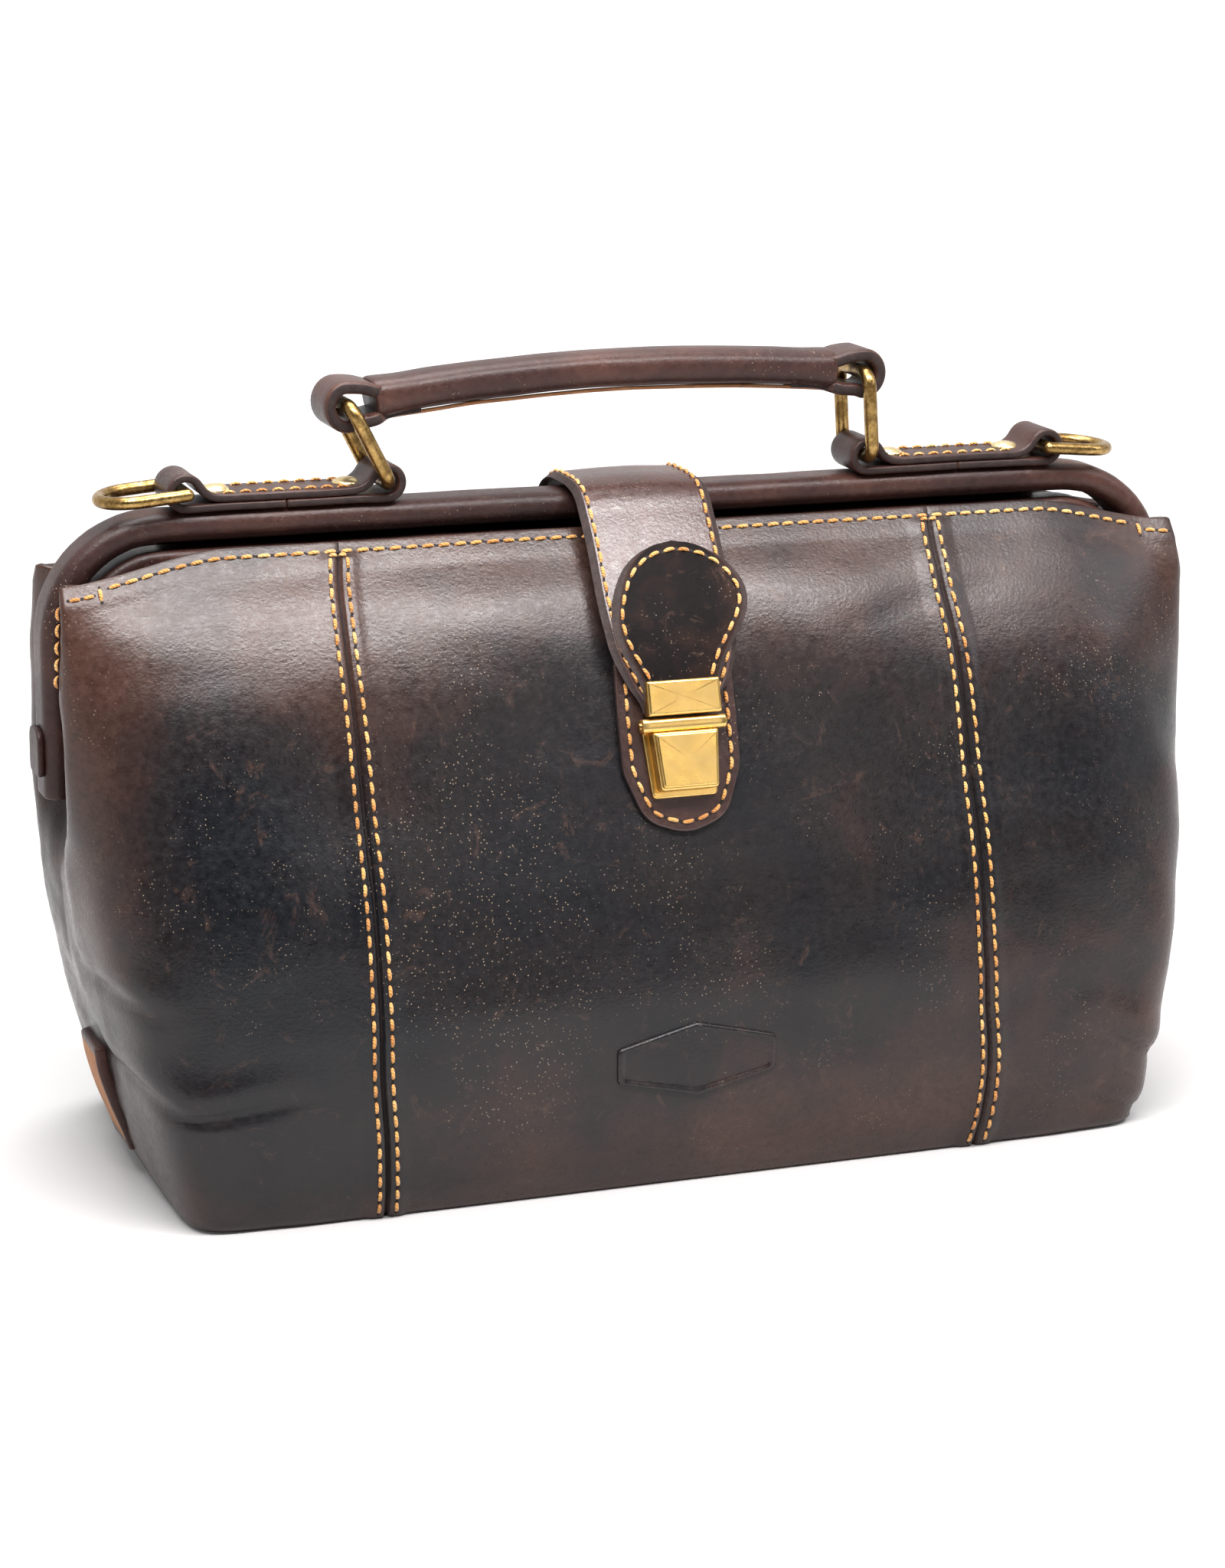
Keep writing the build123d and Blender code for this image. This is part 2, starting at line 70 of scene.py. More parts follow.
def pchip(x, y, at):
    """Monotone cubic interpolation of the columns of y."""
    gaps = np.diff(x)[:, None]
    slopes = np.diff(y, axis=0) / gaps
    tangent = np.zeros_like(y)
    tangent[0], tangent[-1] = slopes[0], slopes[-1]
    for i in range(1, len(x) - 1):
        before, after = slopes[i - 1], slopes[i]
        w1 = 2 * gaps[i] + gaps[i - 1]
        w2 = gaps[i] + 2 * gaps[i - 1]
        # flat stretches divide by zero; np.where drops those values
        with np.errstate(divide="ignore", invalid="ignore"):
            mean = (w1 + w2) / (w1 / before + w2 / after)
        tangent[i] = np.where(before * after > 0, mean, 0)
    at = np.clip(np.asarray(at, float), x[0], x[-1])
    k = np.clip(np.searchsorted(x, at, side="right") - 1, 0, len(x) - 2)
    gap = gaps[k]
    t = (at - x[k])[:, None] / gap
    return ((1 + 2 * t) * (1 - t) ** 2 * y[k] + t * (1 - t) ** 2 * gap * tangent[k]
            + t * t * (3 - 2 * t) * y[k + 1] + t * t * (t - 1) * gap * tangent[k + 1])


def noise3(p, seed):
    """Smooth value noise in [-1, 1] at (n, 3) points."""
    p = np.asarray(p, float)
    cell = np.floor(p).astype(np.int64)
    f = p - cell
    f = f * f * (3 - 2 * f)

    def lattice(c):
        n = ((c[:, 0] * 73856093) ^ (c[:, 1] * 19349663) ^ (c[:, 2] * 83492791)
             ^ (seed * 2654435761))
        n = (n ^ (n >> 13)) * 1274126177
        n = n & 0x7FFFFFFF
        n = (n ^ (n >> 16)) & 0xFFFF
        return n / 32767.5 - 1.0

    total = 0
    for corner in itertools.product((0, 1), repeat=3):
        share = np.where(corner, f, 1 - f)
        weight = share[:, 0] * share[:, 1] * share[:, 2]
        total = total + weight * lattice(cell + np.array(corner))
    return total


def fbm(p, octaves, seed):
    """Layered noise, each octave half as strong and about twice as fine."""
    amplitude, scale, total = 1.0, 1.0, 0
    for octave in range(octaves):
        total = total + amplitude * noise3(p * scale + octave * 17.3, seed + octave)
        amplitude *= 0.5
        scale *= 2.03
    return total / 1.75


def catmull(points, per_span):
    """Centripetal Catmull-Rom through every point, per_span samples to a span."""
    points = np.asarray(points, float)
    padded = np.vstack([2 * points[0] - points[1], points, 2 * points[-1] - points[-2]])
    samples = []
    for p0, p1, p2, p3 in zip(padded, padded[1:], padded[2:], padded[3:]):
        t0 = 0.0
        t1 = t0 + max(np.linalg.norm(p1 - p0), 1e-6) ** 0.5
        t2 = t1 + max(np.linalg.norm(p2 - p1), 1e-6) ** 0.5
        t3 = t2 + max(np.linalg.norm(p3 - p2), 1e-6) ** 0.5
        t = np.linspace(t1, t2, per_span + 1)[:-1, None]

        def between(ta, tb, a, b):
            return (tb - t) / (tb - ta) * a + (t - ta) / (tb - ta) * b

        a1, a2, a3 = between(t0, t1, p0, p1), between(t1, t2, p1, p2), between(t2, t3, p2, p3)
        b1, b2 = between(t0, t2, a1, a2), between(t1, t3, a2, a3)
        samples.append(between(t1, t2, b1, b2))
    return np.vstack(samples + [points[-1:]])


def arclen(points):
    steps = np.linalg.norm(np.diff(points, axis=0), axis=1)
    return np.concatenate([[0], np.cumsum(steps)])


def interp_rows(at, stations, rows):
    """Linear interpolation of every column of rows."""
    return np.stack([np.interp(at, stations, column) for column in rows.T], axis=-1)


def resample(points, n):
    """n points evenly spaced along a line."""
    points = np.asarray(points, float)
    s = arclen(points)
    return interp_rows(np.linspace(0, s[-1], n), s, points)


def resample_closed(outline, n):
    return resample(np.vstack([outline, outline[:1]]), n + 1)[:-1]


def yz_line(points, n):
    return resample(catmull(points, 14), n)


def yz_normals(line):
    """Normals of a (y, z) line, on the left of its direction."""
    along = unit(np.gradient(line, axis=0))
    return np.column_stack([-along[:, 1], along[:, 0]])


# ---------------------------------------------------------------- mesh helpers
def new_mesh(name, verts, faces, mats, face_mats=None):
    """Smooth-shaded object from vertices in mm."""
    mesh = bpy.data.meshes.new(name)
    mesh.from_pydata([tuple(v) for v in np.asarray(verts, float) * MM], [],
                     [tuple(int(i) for i in face) for face in faces])
    for mat in mats:
        mesh.materials.append(mat)
    if face_mats is not None:
        mesh.polygons.foreach_set("material_index", np.asarray(face_mats, np.int32))
    mesh.polygons.foreach_set("use_smooth", np.ones(len(mesh.polygons), bool))
    mesh.update()
    ob = bpy.data.objects.new(name, mesh)
    bpy.context.scene.collection.objects.link(ob)
    return ob


def fix_normals(ob):
    bm = bmesh.new()
    bm.from_mesh(ob.data)
    bmesh.ops.recalc_face_normals(bm, faces=bm.faces)
    bm.to_mesh(ob.data)
    bm.free()


def grid_faces(across, rows, closed=False):
    """Quads of a grid stored row by row; closed joins the last column to the first."""
    faces = []
    for v in range(rows - 1):
        for u in range(across if closed else across - 1):
            nxt = (u + 1) % across
            faces.append((v * across + u, v * across + nxt,
                          (v + 1) * across + nxt, (v + 1) * across + u))
    return faces


def tube_faces(around, rows):
    """Closed grid with a cap at each end."""
    last = (rows - 1) * around
    caps = [tuple(range(around - 1, -1, -1)), tuple(last + u for u in range(around))]
    return grid_faces(around, rows, closed=True) + caps


def join_parts(name, parts, mats):
    """One object from (vertices, faces, material index) parts."""
    verts, faces, indices, offset = [], [], [], 0
    for part_verts, part_faces, index in parts:
        verts.append(part_verts)
        faces += [tuple(i + offset for i in face) for face in part_faces]
        indices += [index] * len(part_faces)
        offset += len(part_verts)
    return new_mesh(name, np.vstack(verts), faces, mats, indices)


def rounded_rect(width, thickness, radius, arc_steps):
    """Rounded rectangle outline, centred."""
    cx, cy = width / 2 - radius, thickness / 2 - radius
    outline = []
    for x, y, start in ((cx, cy, 0), (-cx, cy, 90), (-cx, -cy, 180), (cx, -cy, 270)):
        for i in range(arc_steps + 1):
            a = math.radians(start + 90 * i / arc_steps)
            outline.append((x + radius * math.cos(a), y + radius * math.sin(a)))
    return np.array(outline)


def split_edges(outline, step):
    """Splits the long edges of an outline so that it can take noise."""
    points = []
    for a, b in zip(outline, np.roll(outline, -1, axis=0)):
        pieces = max(1, int(np.linalg.norm(b - a) / step))
        for j in range(pieces):
            points.append(a + (b - a) * j / pieces)
    return np.array(points)


def sweep(name, path, side, sections, mats, round_ends=0.0, wobble=None):
    """Skins one section, or a list of them, along path.

    side is the direction of section x; section y is tangent x side. wobble is
    (noise seed, amplitude).
    """
    n = len(path)
    along = unit(np.gradient(path, axis=0))
    side = np.broadcast_to(np.asarray(side, float), (n, 3))
    side = unit(side - (side * along).sum(1, keepdims=True) * along)
    up = np.cross(along, side)
    if not isinstance(sections, list):
        sections = [sections] * n
    stations = list(zip(path, side, up, sections))

    def rounded_cap(i, sign):
        section = sections[i]
        half_w, half_t = np.abs(section).max(axis=0)
        cap = []
        for degrees in (30, 60, 85):
            shrink = 1 - math.cos(math.radians(degrees))
            reach = sign * round_ends * math.sin(math.radians(degrees))
            scale = np.array([1 - round_ends * shrink / half_w,
                              1 - min(round_ends, half_t) * shrink / half_t])
            cap.append((path[i] + along[i] * reach, side[i], up[i], section * scale))
        return cap

    if round_ends > 0:
        stations = rounded_cap(0, -1)[::-1] + stations + rounded_cap(n - 1, 1)
    verts = np.vstack([p + np.outer(section[:, 0], a) + np.outer(section[:, 1], b)
                       for p, a, b, section in stations])
    if wobble:
        seed, amplitude = wobble
        shift = np.stack([noise3(verts / 13.0, seed + axis) for axis in range(3)], -1)
        verts = verts + shift * amplitude
    ob = new_mesh(name, verts, tube_faces(len(sections[0]), len(stations)), mats)
    fix_normals(ob)
    return ob


def paint_y_faces(ob):
    """Gives material slot 1 to the cut edges, which face along y."""
    for face in ob.data.polygons:
        if abs(face.normal.y) > 0.75:
            face.material_index = 1


def attach(ob, body, slot, *replaced):
    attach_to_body(ob, body)
    if replaced:
        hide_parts(*replaced)


def blend_bodies(ob, weights):
    """Bakes the transform and works out weights(points in mm), the share of the second body, at
    every vertex; nothing stores or applies them.
    """
    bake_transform(ob)
    points = np.array([v.co for v in ob.data.vertices], float) / MM
    values = weights(points).astype(np.float32)


def shell_weights(points):
    """How far a point follows its frame (1) instead of the bag (0)."""
    x, y, z = points.T
    middle = smooth((z - 161) / 37)
    ends = smooth((z - 98) / 56)
    endness = smooth((np.abs(x) - 110) / 68)
    weight = (1 - endness) * middle + endness * ends
    # the end folds stay with the bag on the line where the halves meet
    fold = smooth((np.abs(x) - 150) / 15)
    return weight * (1 - fold + fold * smooth(np.abs(y) / 16))


def follow_frame(ob):
    blend_bodies(ob, shell_weights)


def follow_strap(ob):
    """0 on the back half, 1 beyond the front edge of the bar."""
    blend_bodies(ob,
                 lambda points: smooth((-points[:, 1] - 7.5) / 13.0))


# ------------------------------------------------------------------ shader graph
def srgb(*rgb):
    """Linear colour from 0-255 sRGB values."""
    c = [v / 255.0 for v in rgb]
    return tuple(v / 12.92 if v <= 0.04045 else ((v + 0.055) / 1.055) ** 2.4 for v in c) + (1.0,)


class Graph:
    """Builds shader nodes; inputs may be numbers, colours or output sockets."""

    def __init__(self, tree):
        self.tree = tree

    def feed(self, node, inputs):
        for key, value in inputs.items():
            if isinstance(value, bpy.types.NodeSocket):
                self.tree.links.new(value, node.inputs[key])
            else:
                node.inputs[key].default_value = value

    def new(self, kind, inputs=None, **settings):
        node = self.tree.nodes.new("ShaderNode" + kind)
        for key, value in settings.items():
            setattr(node, key, value)
        self.feed(node, inputs or {})
        return node

    def coords(self):
        return self.new("TexCoord").outputs["Object"]

    def math(self, operation, a, b=0.0):
        return self.new("Math", {0: a, 1: b}, operation=operation).outputs[0]

    def add(self, a, b):
        return self.math("ADD", a, b)

    def mul(self, a, b):
        return self.math("MULTIPLY", a, b)

    def remap(self, value, span, to=(0.0, 1.0)):
        """Takes span onto to, clamped."""
        return self.new("MapRange", {0: value, 1: span[0], 2: span[1],
                                     3: to[0], 4: to[1]}).outputs[0]

    def noise(self, coords, scale, detail, rough, warp=0.0):
        return self.new("TexNoise", {"Vector": coords, "Scale": scale, "Detail": detail,
                                     "Roughness": rough, "Distortion": warp}).outputs["Fac"]

    def cells(self, coords, scale):
        """Distance to the nearest Voronoi point."""
        node = self.new("TexVoronoi", {"Vector": coords, "Scale": scale})
        return node.outputs["Distance"]

    def wave(self, coords, direction, **inputs):
        node = self.new("TexWave", {"Vector": coords, **inputs}, bands_direction=direction)
        return node.outputs["Fac"]

    def length(self, vector):
        return self.new("VectorMath", {0: vector}, operation="LENGTH").outputs["Value"]

    def zone(self, coords, scale, shift):
        """Length of coords * scale + shift: distance from the middle of an oval zone."""
        moved = self.new("VectorMath", {0: coords, 1: scale, 2: shift},
                         operation="MULTIPLY_ADD")
        return self.length(moved.outputs[0])

    def mix(self, factor, a, b, mode="MIX"):
        return self.new("Mix", {0: factor, 6: a, 7: b},
                        data_type="RGBA", blend_type=mode).outputs[2]

    def grey(self, value):
        return self.new("CombineColor", {0: value, 1: value, 2: value}).outputs[0]

    def ramp(self, factor, stops):
        """Colour ramp with (position, colour) stops."""
        node = self.new("ValToRGB", {0: factor})
        elements = node.color_ramp.elements
        while len(elements) > 1:
            elements.remove(elements[-1])
        elements[0].position, elements[0].color = stops[0]
        for position, color in stops[1:]:
            elements.new(position).color = color
        return node.outputs[0]

    def bump(self, height, strength, distance):
        return self.new("Bump", {"Height": height, "Strength": strength,
                                 "Distance": distance}).outputs[0]


def new_material(name):
    """Material with a bare Principled shader: (material, graph, shader node)."""
    mat = bpy.data.materials.new(name)
    mat.use_nodes = True
    for node in list(mat.node_tree.nodes):
        mat.node_tree.nodes.remove(node)
    graph = Graph(mat.node_tree)
    output = graph.new("OutputMaterial")
    shader = graph.new("BsdfPrincipled")
    graph.feed(output, {0: shader.outputs[0]})
    return mat, graph, shader


# --------------------------------------------------------------------- materials
def body_warmth(g, coords, warmth):
    """Makes the panels darker in the middle and warmer to the ends, the foot and the top."""
    axes = g.new("SeparateXYZ", {0: coords}).outputs
    from_middle = g.math("ABSOLUTE", axes[0])
    ends = g.remap(from_middle, span=(0.155, 0.19), to=(0.0, 0.16))
    foot = g.remap(axes[2], span=(0.055, 0.0), to=(0.0, 0.20))
    top = g.remap(axes[2], span=(0.12, 0.185), to=(0.0, 0.17))
    warmth = g.add(g.add(warmth, ends), g.add(foot, top))
    warmth = g.math("SUBTRACT", warmth, 0.045)
    # darkest patch, left of the left seam
    distance = g.zone(coords, scale=(1.0, 0.0, 0.75), shift=(0.140, 0.0, -0.085))
    return g.math("SUBTRACT", warmth, g.remap(distance, span=(0.045, 0.012), to=(0.0, 0.16)))


def leather(name, dark, mid, warm, *, rough, spec, patch_scale=9.0, grain=1.0, edge_tint=None,
            body=False):
    """Waxed leather: dark and warm patches, pebble grain, wrinkles and pale specks."""
    mat, g, shader = new_material(name)
    coords = g.coords()
    patches = g.noise(coords, scale=patch_scale, detail=3, rough=0.6, warp=0.4)
    mottle = g.noise(coords, scale=patch_scale * 4.5, detail=4, rough=0.6, warp=0.3)
    fine = g.noise(coords, scale=420, detail=3, rough=0.6)
    pores = g.noise(coords, scale=1500, detail=2, rough=0.6)
    warmth = g.add(g.mul(patches, 0.7), g.mul(mottle, 0.3))
    warm_shift = 0.0    # raise it for a warmer leather
    warmth = g.add(warmth, warm_shift)
    if body:
        warmth = body_warmth(g, coords, warmth)
    color = g.ramp(warmth, [(0.30, dark), (0.50, mid), (0.74, warm)])
    tone = g.remap(fine, span=(0.3, 0.7), to=(0.80, 1.20))
    color = g.mix(1.0, color, g.grey(tone), mode="MULTIPLY")
    # pale wax specks, gathered where the wear noise is high
    specks = g.remap(g.cells(coords, scale=740.0), span=(0.19, 0.08))
    wear = g.noise(coords, scale=22, detail=4, rough=0.75)
    if body:
        # most worn left of the middle of the front and back
        distance = g.zone(coords, scale=(0.55, 0.0, 1.0), shift=(0.045, 0.0, -0.108))
        wear = g.add(wear, g.remap(distance, span=(0.065, 0.015), to=(-0.03, 0.13)))
    specks = g.mul(specks, g.remap(wear, span=(0.50, 0.62), to=(0.0, 0.85)))
    color = g.mix(specks, color, srgb(150, 132, 114))
    scuffs = g.noise(coords, scale=60.0, detail=6.0, rough=0.75, warp=2.2)
    scuffs = g.remap(scuffs, span=(0.58, 0.70), to=(0.0, 0.32))
    color = g.mix(scuffs, color, srgb(92, 68, 58))
    if edge_tint is not None:
        pointiness = g.new("NewGeometry").outputs["Pointiness"]
        color = g.mix(g.remap(pointiness, span=(0.53, 0.60), to=(0.0, 0.55)), color, edge_tint)
    gloss = g.add(g.remap(patches, span=(0.3, 0.7), to=(rough + 0.05, rough - 0.05)),
                  g.remap(fine, span=(0.3, 0.7), to=(-0.06, 0.06)))
    gloss = g.add(gloss, g.mul(specks, 0.06))
    # relief: pebble cells, pores, wrinkles stretched along x, and the mottle
    pebbles = g.cells(coords, scale=780.0)
    stretched = g.new("VectorMath", {0: coords, 1: (0.55, 0.8, 1.5)}, operation="MULTIPLY")
    wrinkles = g.noise(stretched.outputs[0], scale=430.0, detail=4.0, rough=0.6, warp=2.6)
    height = g.add(g.mul(pebbles, 0.34), g.mul(pores, 0.35))
    height = g.add(height, g.mul(wrinkles, 0.5))
    height = g.add(height, g.mul(mottle, 0.5))
    g.feed(shader, {"Base Color": color, "Roughness": gloss, "Specular IOR Level": spec,
                    "Sheen Roughness": 0.45,
                    "Normal": g.bump(height, strength=0.17 * grain, distance=0.0008)})
    return mat


def edge_paint(name, dark, light):
    """Burnished cut edge of thick leather."""
    mat, g, shader = new_material(name)
    coords = g.coords()
    streaks = g.noise(coords, scale=240, detail=4, rough=0.7)
    fine = g.noise(coords, scale=900, detail=2, rough=0.6)
    height = g.add(streaks, g.mul(fine, 0.5))
    g.feed(shader, {"Base Color": g.ramp(streaks, [(0.3, dark), (0.7, light)]),
                    "Roughness": g.remap(fine, span=(0.2, 0.8), to=(0.6, 0.85)),
                    "Specular IOR Level": 0.25,
                    "Normal": g.bump(height, strength=0.35, distance=0.0008)})
    return mat


def thread(name):
    """Twisted golden thread."""
    mat, g, shader = new_material(name)
    coords = g.coords()
    tone = g.noise(coords, scale=90, detail=2, rough=0.5)
    twist = g.wave(coords, "DIAGONAL", Scale=520.0, Distortion=1.5, Detail=1.0)
    color = g.ramp(tone, [(0.35, srgb(190, 122, 48)), (0.5, srgb(219, 156, 76)),
                          (0.68, srgb(232, 182, 110))])
    color = g.mix(g.mul(twist, 0.25), color, srgb(120, 70, 26))
    g.feed(shader, {"Base Color": color, "Roughness": 0.55, "Sheen Weight": 0.3,
                    "Normal": g.bump(twist, strength=0.6, distance=0.0004)})
    return mat


def metal(name, dark, light, tarnish, *, rough, tarnish_amount, scale=160, bump=0.12):
    """Metal with patches of tarnish; bump also widens the spread of roughness."""
    mat, g, shader = new_material(name)
    coords = g.coords()
    patches = g.noise(coords, scale=scale, detail=4, rough=0.65, warp=0.6)
    fine = g.noise(coords, scale=scale * 6, detail=2, rough=0.6)
    color = g.ramp(fine, [(0.3, dark), (0.7, light)])
    amount = g.remap(patches, span=(0.42, 0.66), to=(0.0, tarnish_amount))
    color = g.mix(amount, color, tarnish)
    smoothest, roughest = rough - 0.02 - 0.3 * bump, rough + 0.02 + bump
    gloss = g.add(g.remap(patches, span=(0.3, 0.7), to=(smoothest, roughest)),
                  g.remap(fine, span=(0.3, 0.7), to=(-0.03, 0.03)))
    g.feed(shader, {"Base Color": color, "Metallic": 1.0, "Roughness": gloss,
                    "Normal": g.bump(fine, strength=bump, distance=0.0005)})
    return mat


def cloth(name, dark, light):
    """Plain weave."""
    mat, g, shader = new_material(name)
    coords = g.coords()
    weave = g.mul(g.wave(coords, "X", Scale=300.0, Distortion=0.4),
                  g.wave(coords, "Z", Scale=300.0, Distortion=0.4))
    tone = g.noise(coords, scale=30, detail=3, rough=0.6)
    tone = g.add(g.mul(weave, 0.6), g.mul(tone, 0.4))
    g.feed(shader, {"Base Color": g.ramp(tone, [(0.2, dark), (0.8, light)]),
                    "Roughness": 0.85, "Sheen Weight": 0.3,
                    "Normal": g.bump(weave, strength=0.4, distance=0.0005)})
    return mat


TRIM_COLORS = srgb(32, 21, 20), srgb(50, 31, 28), srgb(76, 48, 40)
M_BODY = leather("body_leather", srgb(11, 13, 18), srgb(26, 22, 23), srgb(62, 41, 34),
                 rough=0.31, spec=0.38, body=True)
M_STRAP = leather("strap_leather", srgb(36, 23, 22), srgb(58, 36, 32), srgb(84, 52, 45),
                  rough=0.32, spec=0.60, edge_tint=srgb(78, 53, 46))
M_TRIM = leather("trim_leather", *TRIM_COLORS, rough=0.41, spec=0.28, patch_scale=14,
                 edge_tint=srgb(96, 66, 54))
M_COVER = leather("cover_leather", *TRIM_COLORS, rough=0.43, spec=0.28, patch_scale=14)
M_OVERLAY = leather("overlay_leather", srgb(11, 9, 10), srgb(18, 13, 13), srgb(44, 28, 22),
                    rough=0.64, spec=0.08, patch_scale=30, edge_tint=srgb(60, 42, 36))
M_EDGE = edge_paint("cut_edge", srgb(33, 25, 25), srgb(52, 40, 37))
M_TAN = leather("tan_flesh", srgb(128, 84, 52), srgb(158, 106, 66), srgb(182, 132, 90),
                rough=0.75, spec=0.5, patch_scale=20, grain=1.4)
M_GROOVE = edge_paint("seam_groove", srgb(18, 13, 13), srgb(34, 24, 22))
M_THREAD = thread("gold_thread")
M_ANTIQUE = metal("antique_brass", srgb(150, 118, 66), srgb(190, 158, 102), srgb(84, 60, 30),
                  rough=0.26, tarnish_amount=0.75, scale=170)
M_GOLD = metal("satin_gold", srgb(222, 182, 104), srgb(234, 198, 126), srgb(190, 146, 78),
               rough=0.29, tarnish_amount=0.35, scale=26, bump=0.0)
M_RIVET = metal("rivet_gold", srgb(226, 202, 140), srgb(248, 232, 190), srgb(170, 130, 70),
                rough=0.26, tarnish_amount=0.3, scale=120)
M_STEEL = metal("flat_steel", srgb(140, 140, 142), srgb(170, 170, 172), srgb(90, 84, 80),
                rough=0.35, tarnish_amount=0.3)
M_LINING = cloth("lining_cloth", srgb(62, 60, 58), srgb(98, 94, 90))
M_BOARD = edge_paint("fibre_board", srgb(120, 102, 80), srgb(150, 130, 104))


# --------------------------------------------------------------------- stitching
STITCH_PITCH, STITCH_LENGTH = 5.2, 4.2
STITCH_LIFT = 0.5


def stitch(a, b, middle, normal, radius):
    """One stitch from a to b, arched over middle and sunk at both ends."""
    around, steps = 8, 6
    side = np.cross(unit(b - a), normal)
    control = 2 * middle - (a + b) / 2
    verts = []
    for i in range(steps + 1):
        t = i / steps
        centre = a * (1 - t) ** 2 + 2 * control * t * (1 - t) + b * t * t
        bulge = math.sin(math.pi * t)
        if i in (0, steps):
            # sin(pi) can fall a hair below zero, so the ends are kept at zero or more
            bulge = max(bulge, 0.0)
            r = radius * 0.25
        else:
            r = radius * (0.55 + 0.45 * bulge ** 0.5)
        height = STITCH_LIFT * bulge ** 0.6 - 0.28 * (1 - bulge)
        for j in range(around):
            q = 2 * math.pi * j / around
            verts.append(centre + normal * (height + r * 0.85 * math.sin(q))
                         + side * r * math.cos(q))
    return np.array(verts), tube_faces(around, steps + 1)


def needle_hole(centre, normal, along, radius):
    """Small dark fan at the end of a stitch, painted shade of the needle hole."""
    side = np.cross(along, normal)
    sides = 7
    verts = [centre + normal * 0.05]
    for j in range(sides):
        q = 2 * math.pi * j / sides
        verts.append(centre + (along * math.cos(q) + side * math.sin(q) * 0.8) * radius)
    return np.array(verts), [(0, 1 + j, 1 + (j + 1) % sides) for j in range(sides)]


def stitch_row(points, normals, seed, pitch=STITCH_PITCH, radius=0.62, slant=0.0, start=0.5,
               holes=True):
    """Stitches along a dense surface line; slant turns each one across the line."""
    s = arclen(points)
    count = max(1, int(round((s[-1] - start) / pitch)))
    pitch = (s[-1] - start) / count
    rng = np.random.default_rng(seed + 101)
    parts = []
    for i in range(count):
        s0 = start + i * pitch + rng.uniform(-0.12, 0.12)
        s1 = s0 + STITCH_LENGTH * pitch / STITCH_PITCH * rng.uniform(0.94, 1.05)
        begin, middle, end = interp_rows(np.array([s0, (s0 + s1) / 2, s1]), s, points)
        normal = unit(interp_rows((s0 + s1) / 2, s, normals))
        along = unit(end - begin)
        shift = np.cross(normal, along) * (slant + rng.uniform(-0.08, 0.08))
        a, b = begin - shift, end + shift
        parts.append(stitch(a, b, middle, normal, radius) + (0,))
        # dark fans at both ends of the stitch: painted shade of the needle holes
        if holes:
            for centre in (a - along * 0.15, b + along * 0.15):
                parts.append(needle_hole(centre, normal, along, radius * 1.15) + (1,))
    return parts


def stitching(name, parts):
    # slot 1, the dark groove colour, paints the shade of the needle holes
    return join_parts(name, parts, [M_THREAD, M_GROOVE])


# ------------------------------------------------------------------ body surface
HEM_Z = 202.0
LEATHER = 2.2       # thickness of the body leather
FAR = 99.0          # seam distance of anything away from a seam
# z, y at the middle, y at the seam, six (x, y) pairs round the corner, x of the end
PROFILE = np.array([
    (0, 66.6, 66.5, 133, 65.8, 155.8, 61, 160.0, 35, 160.3, 26, 160.4, 18, 160.4, 9, 160.4),
    (1.2, 67.7, 67.7, 134, 67.1, 157.4, 62.8, 161.6, 36, 161.8, 27, 161.9, 18, 161.9, 9, 161.9),
    (3.5, 68.7, 68.7, 135, 68.3, 158.4, 63.8, 162.8, 36, 162.9, 27, 163, 18, 163, 9, 163),
    (12, 72, 72, 138, 71, 160.5, 65, 166, 36, 166.6, 27, 166.8, 18, 167, 9, 167),
    (35, 75.5, 75.3, 142, 73.5, 165, 65.5, 172, 36, 172.9, 27, 173.3, 18, 173.5, 9, 173.5),
    (60, 75.6, 75, 145, 72, 170, 62, 178.5, 34, 179.4, 26, 179.9, 17, 180, 8.5, 180),
    (80, 72.8, 72, 147, 69, 174, 57.5, 182.5, 31, 183.7, 23.5, 184.2, 15.5, 184.2, 8, 184),
    (100, 68, 67.3, 149, 64.5, 178, 50, 186, 25, 186.6, 18.5, 186, 12.5, 185, 6.5, 184.2),
    (112, 63.8, 63.2, 150, 60.5, 178.5, 46, 187, 24, 187, 17.5, 184.5, 11.5, 181.5, 6, 180),
    (125, 59, 58.5, 150.5, 56, 177, 43, 187.6, 27, 186.6, 20, 182, 15.5, 175, 10.5, 171.5),
    (140, 54.2, 53.8, 151, 51, 176, 39, 187.8, 27, 185.8, 19.5, 179.5, 15, 171.5, 10, 168.5),
    (161, 46, 45.7, 152, 43, 175, 34, 187.8, 26, 185, 16.5, 177.5, 12, 170.5, 7.6, 167.5),
    (184, 31.5, 31.2, 153, 30, 174, 27.5, 187.5, 24.5, 184.8, 16, 177.3, 11.8, 170, 7.6, 166.5),
    (195, 22, 21.8, 154, 21.7, 173, 21.5, 187, 22, 184.6, 15.5, 177, 11.5, 169.7, 7.5, 166),
    (202, 16.3, 16.2, 154, 16.2, 173, 16.4, 186.5, 18, 184.4, 15, 177, 11.5, 169.7, 7.5, 166),
], float)
# z, x of the front seams; the back seams are straight
SEAM_LEFT = np.array([(0, -100.5), (25, -102), (50, -103.5), (165, -103.5), (185, -102.5),
                      (202, -99.5)], float)
SEAM_RIGHT = np.array([(0, 98.8), (28, 100), (54, 98.4), (92, 97.2), (160, 97.2), (182, 96.6),
                       (202, 98.5)], float)
BACK_SEAM_X = 100.0
# control points of an outline run 0 at the left end, 7 and 9 at the seams, 16 at the right end
LEFT_SEAM, MIDDLE, RIGHT_SEAM, LAST_ANCHOR = 7, 8, 9, 16
SAMPLE_ROWS, PER_SPAN = 203, 40

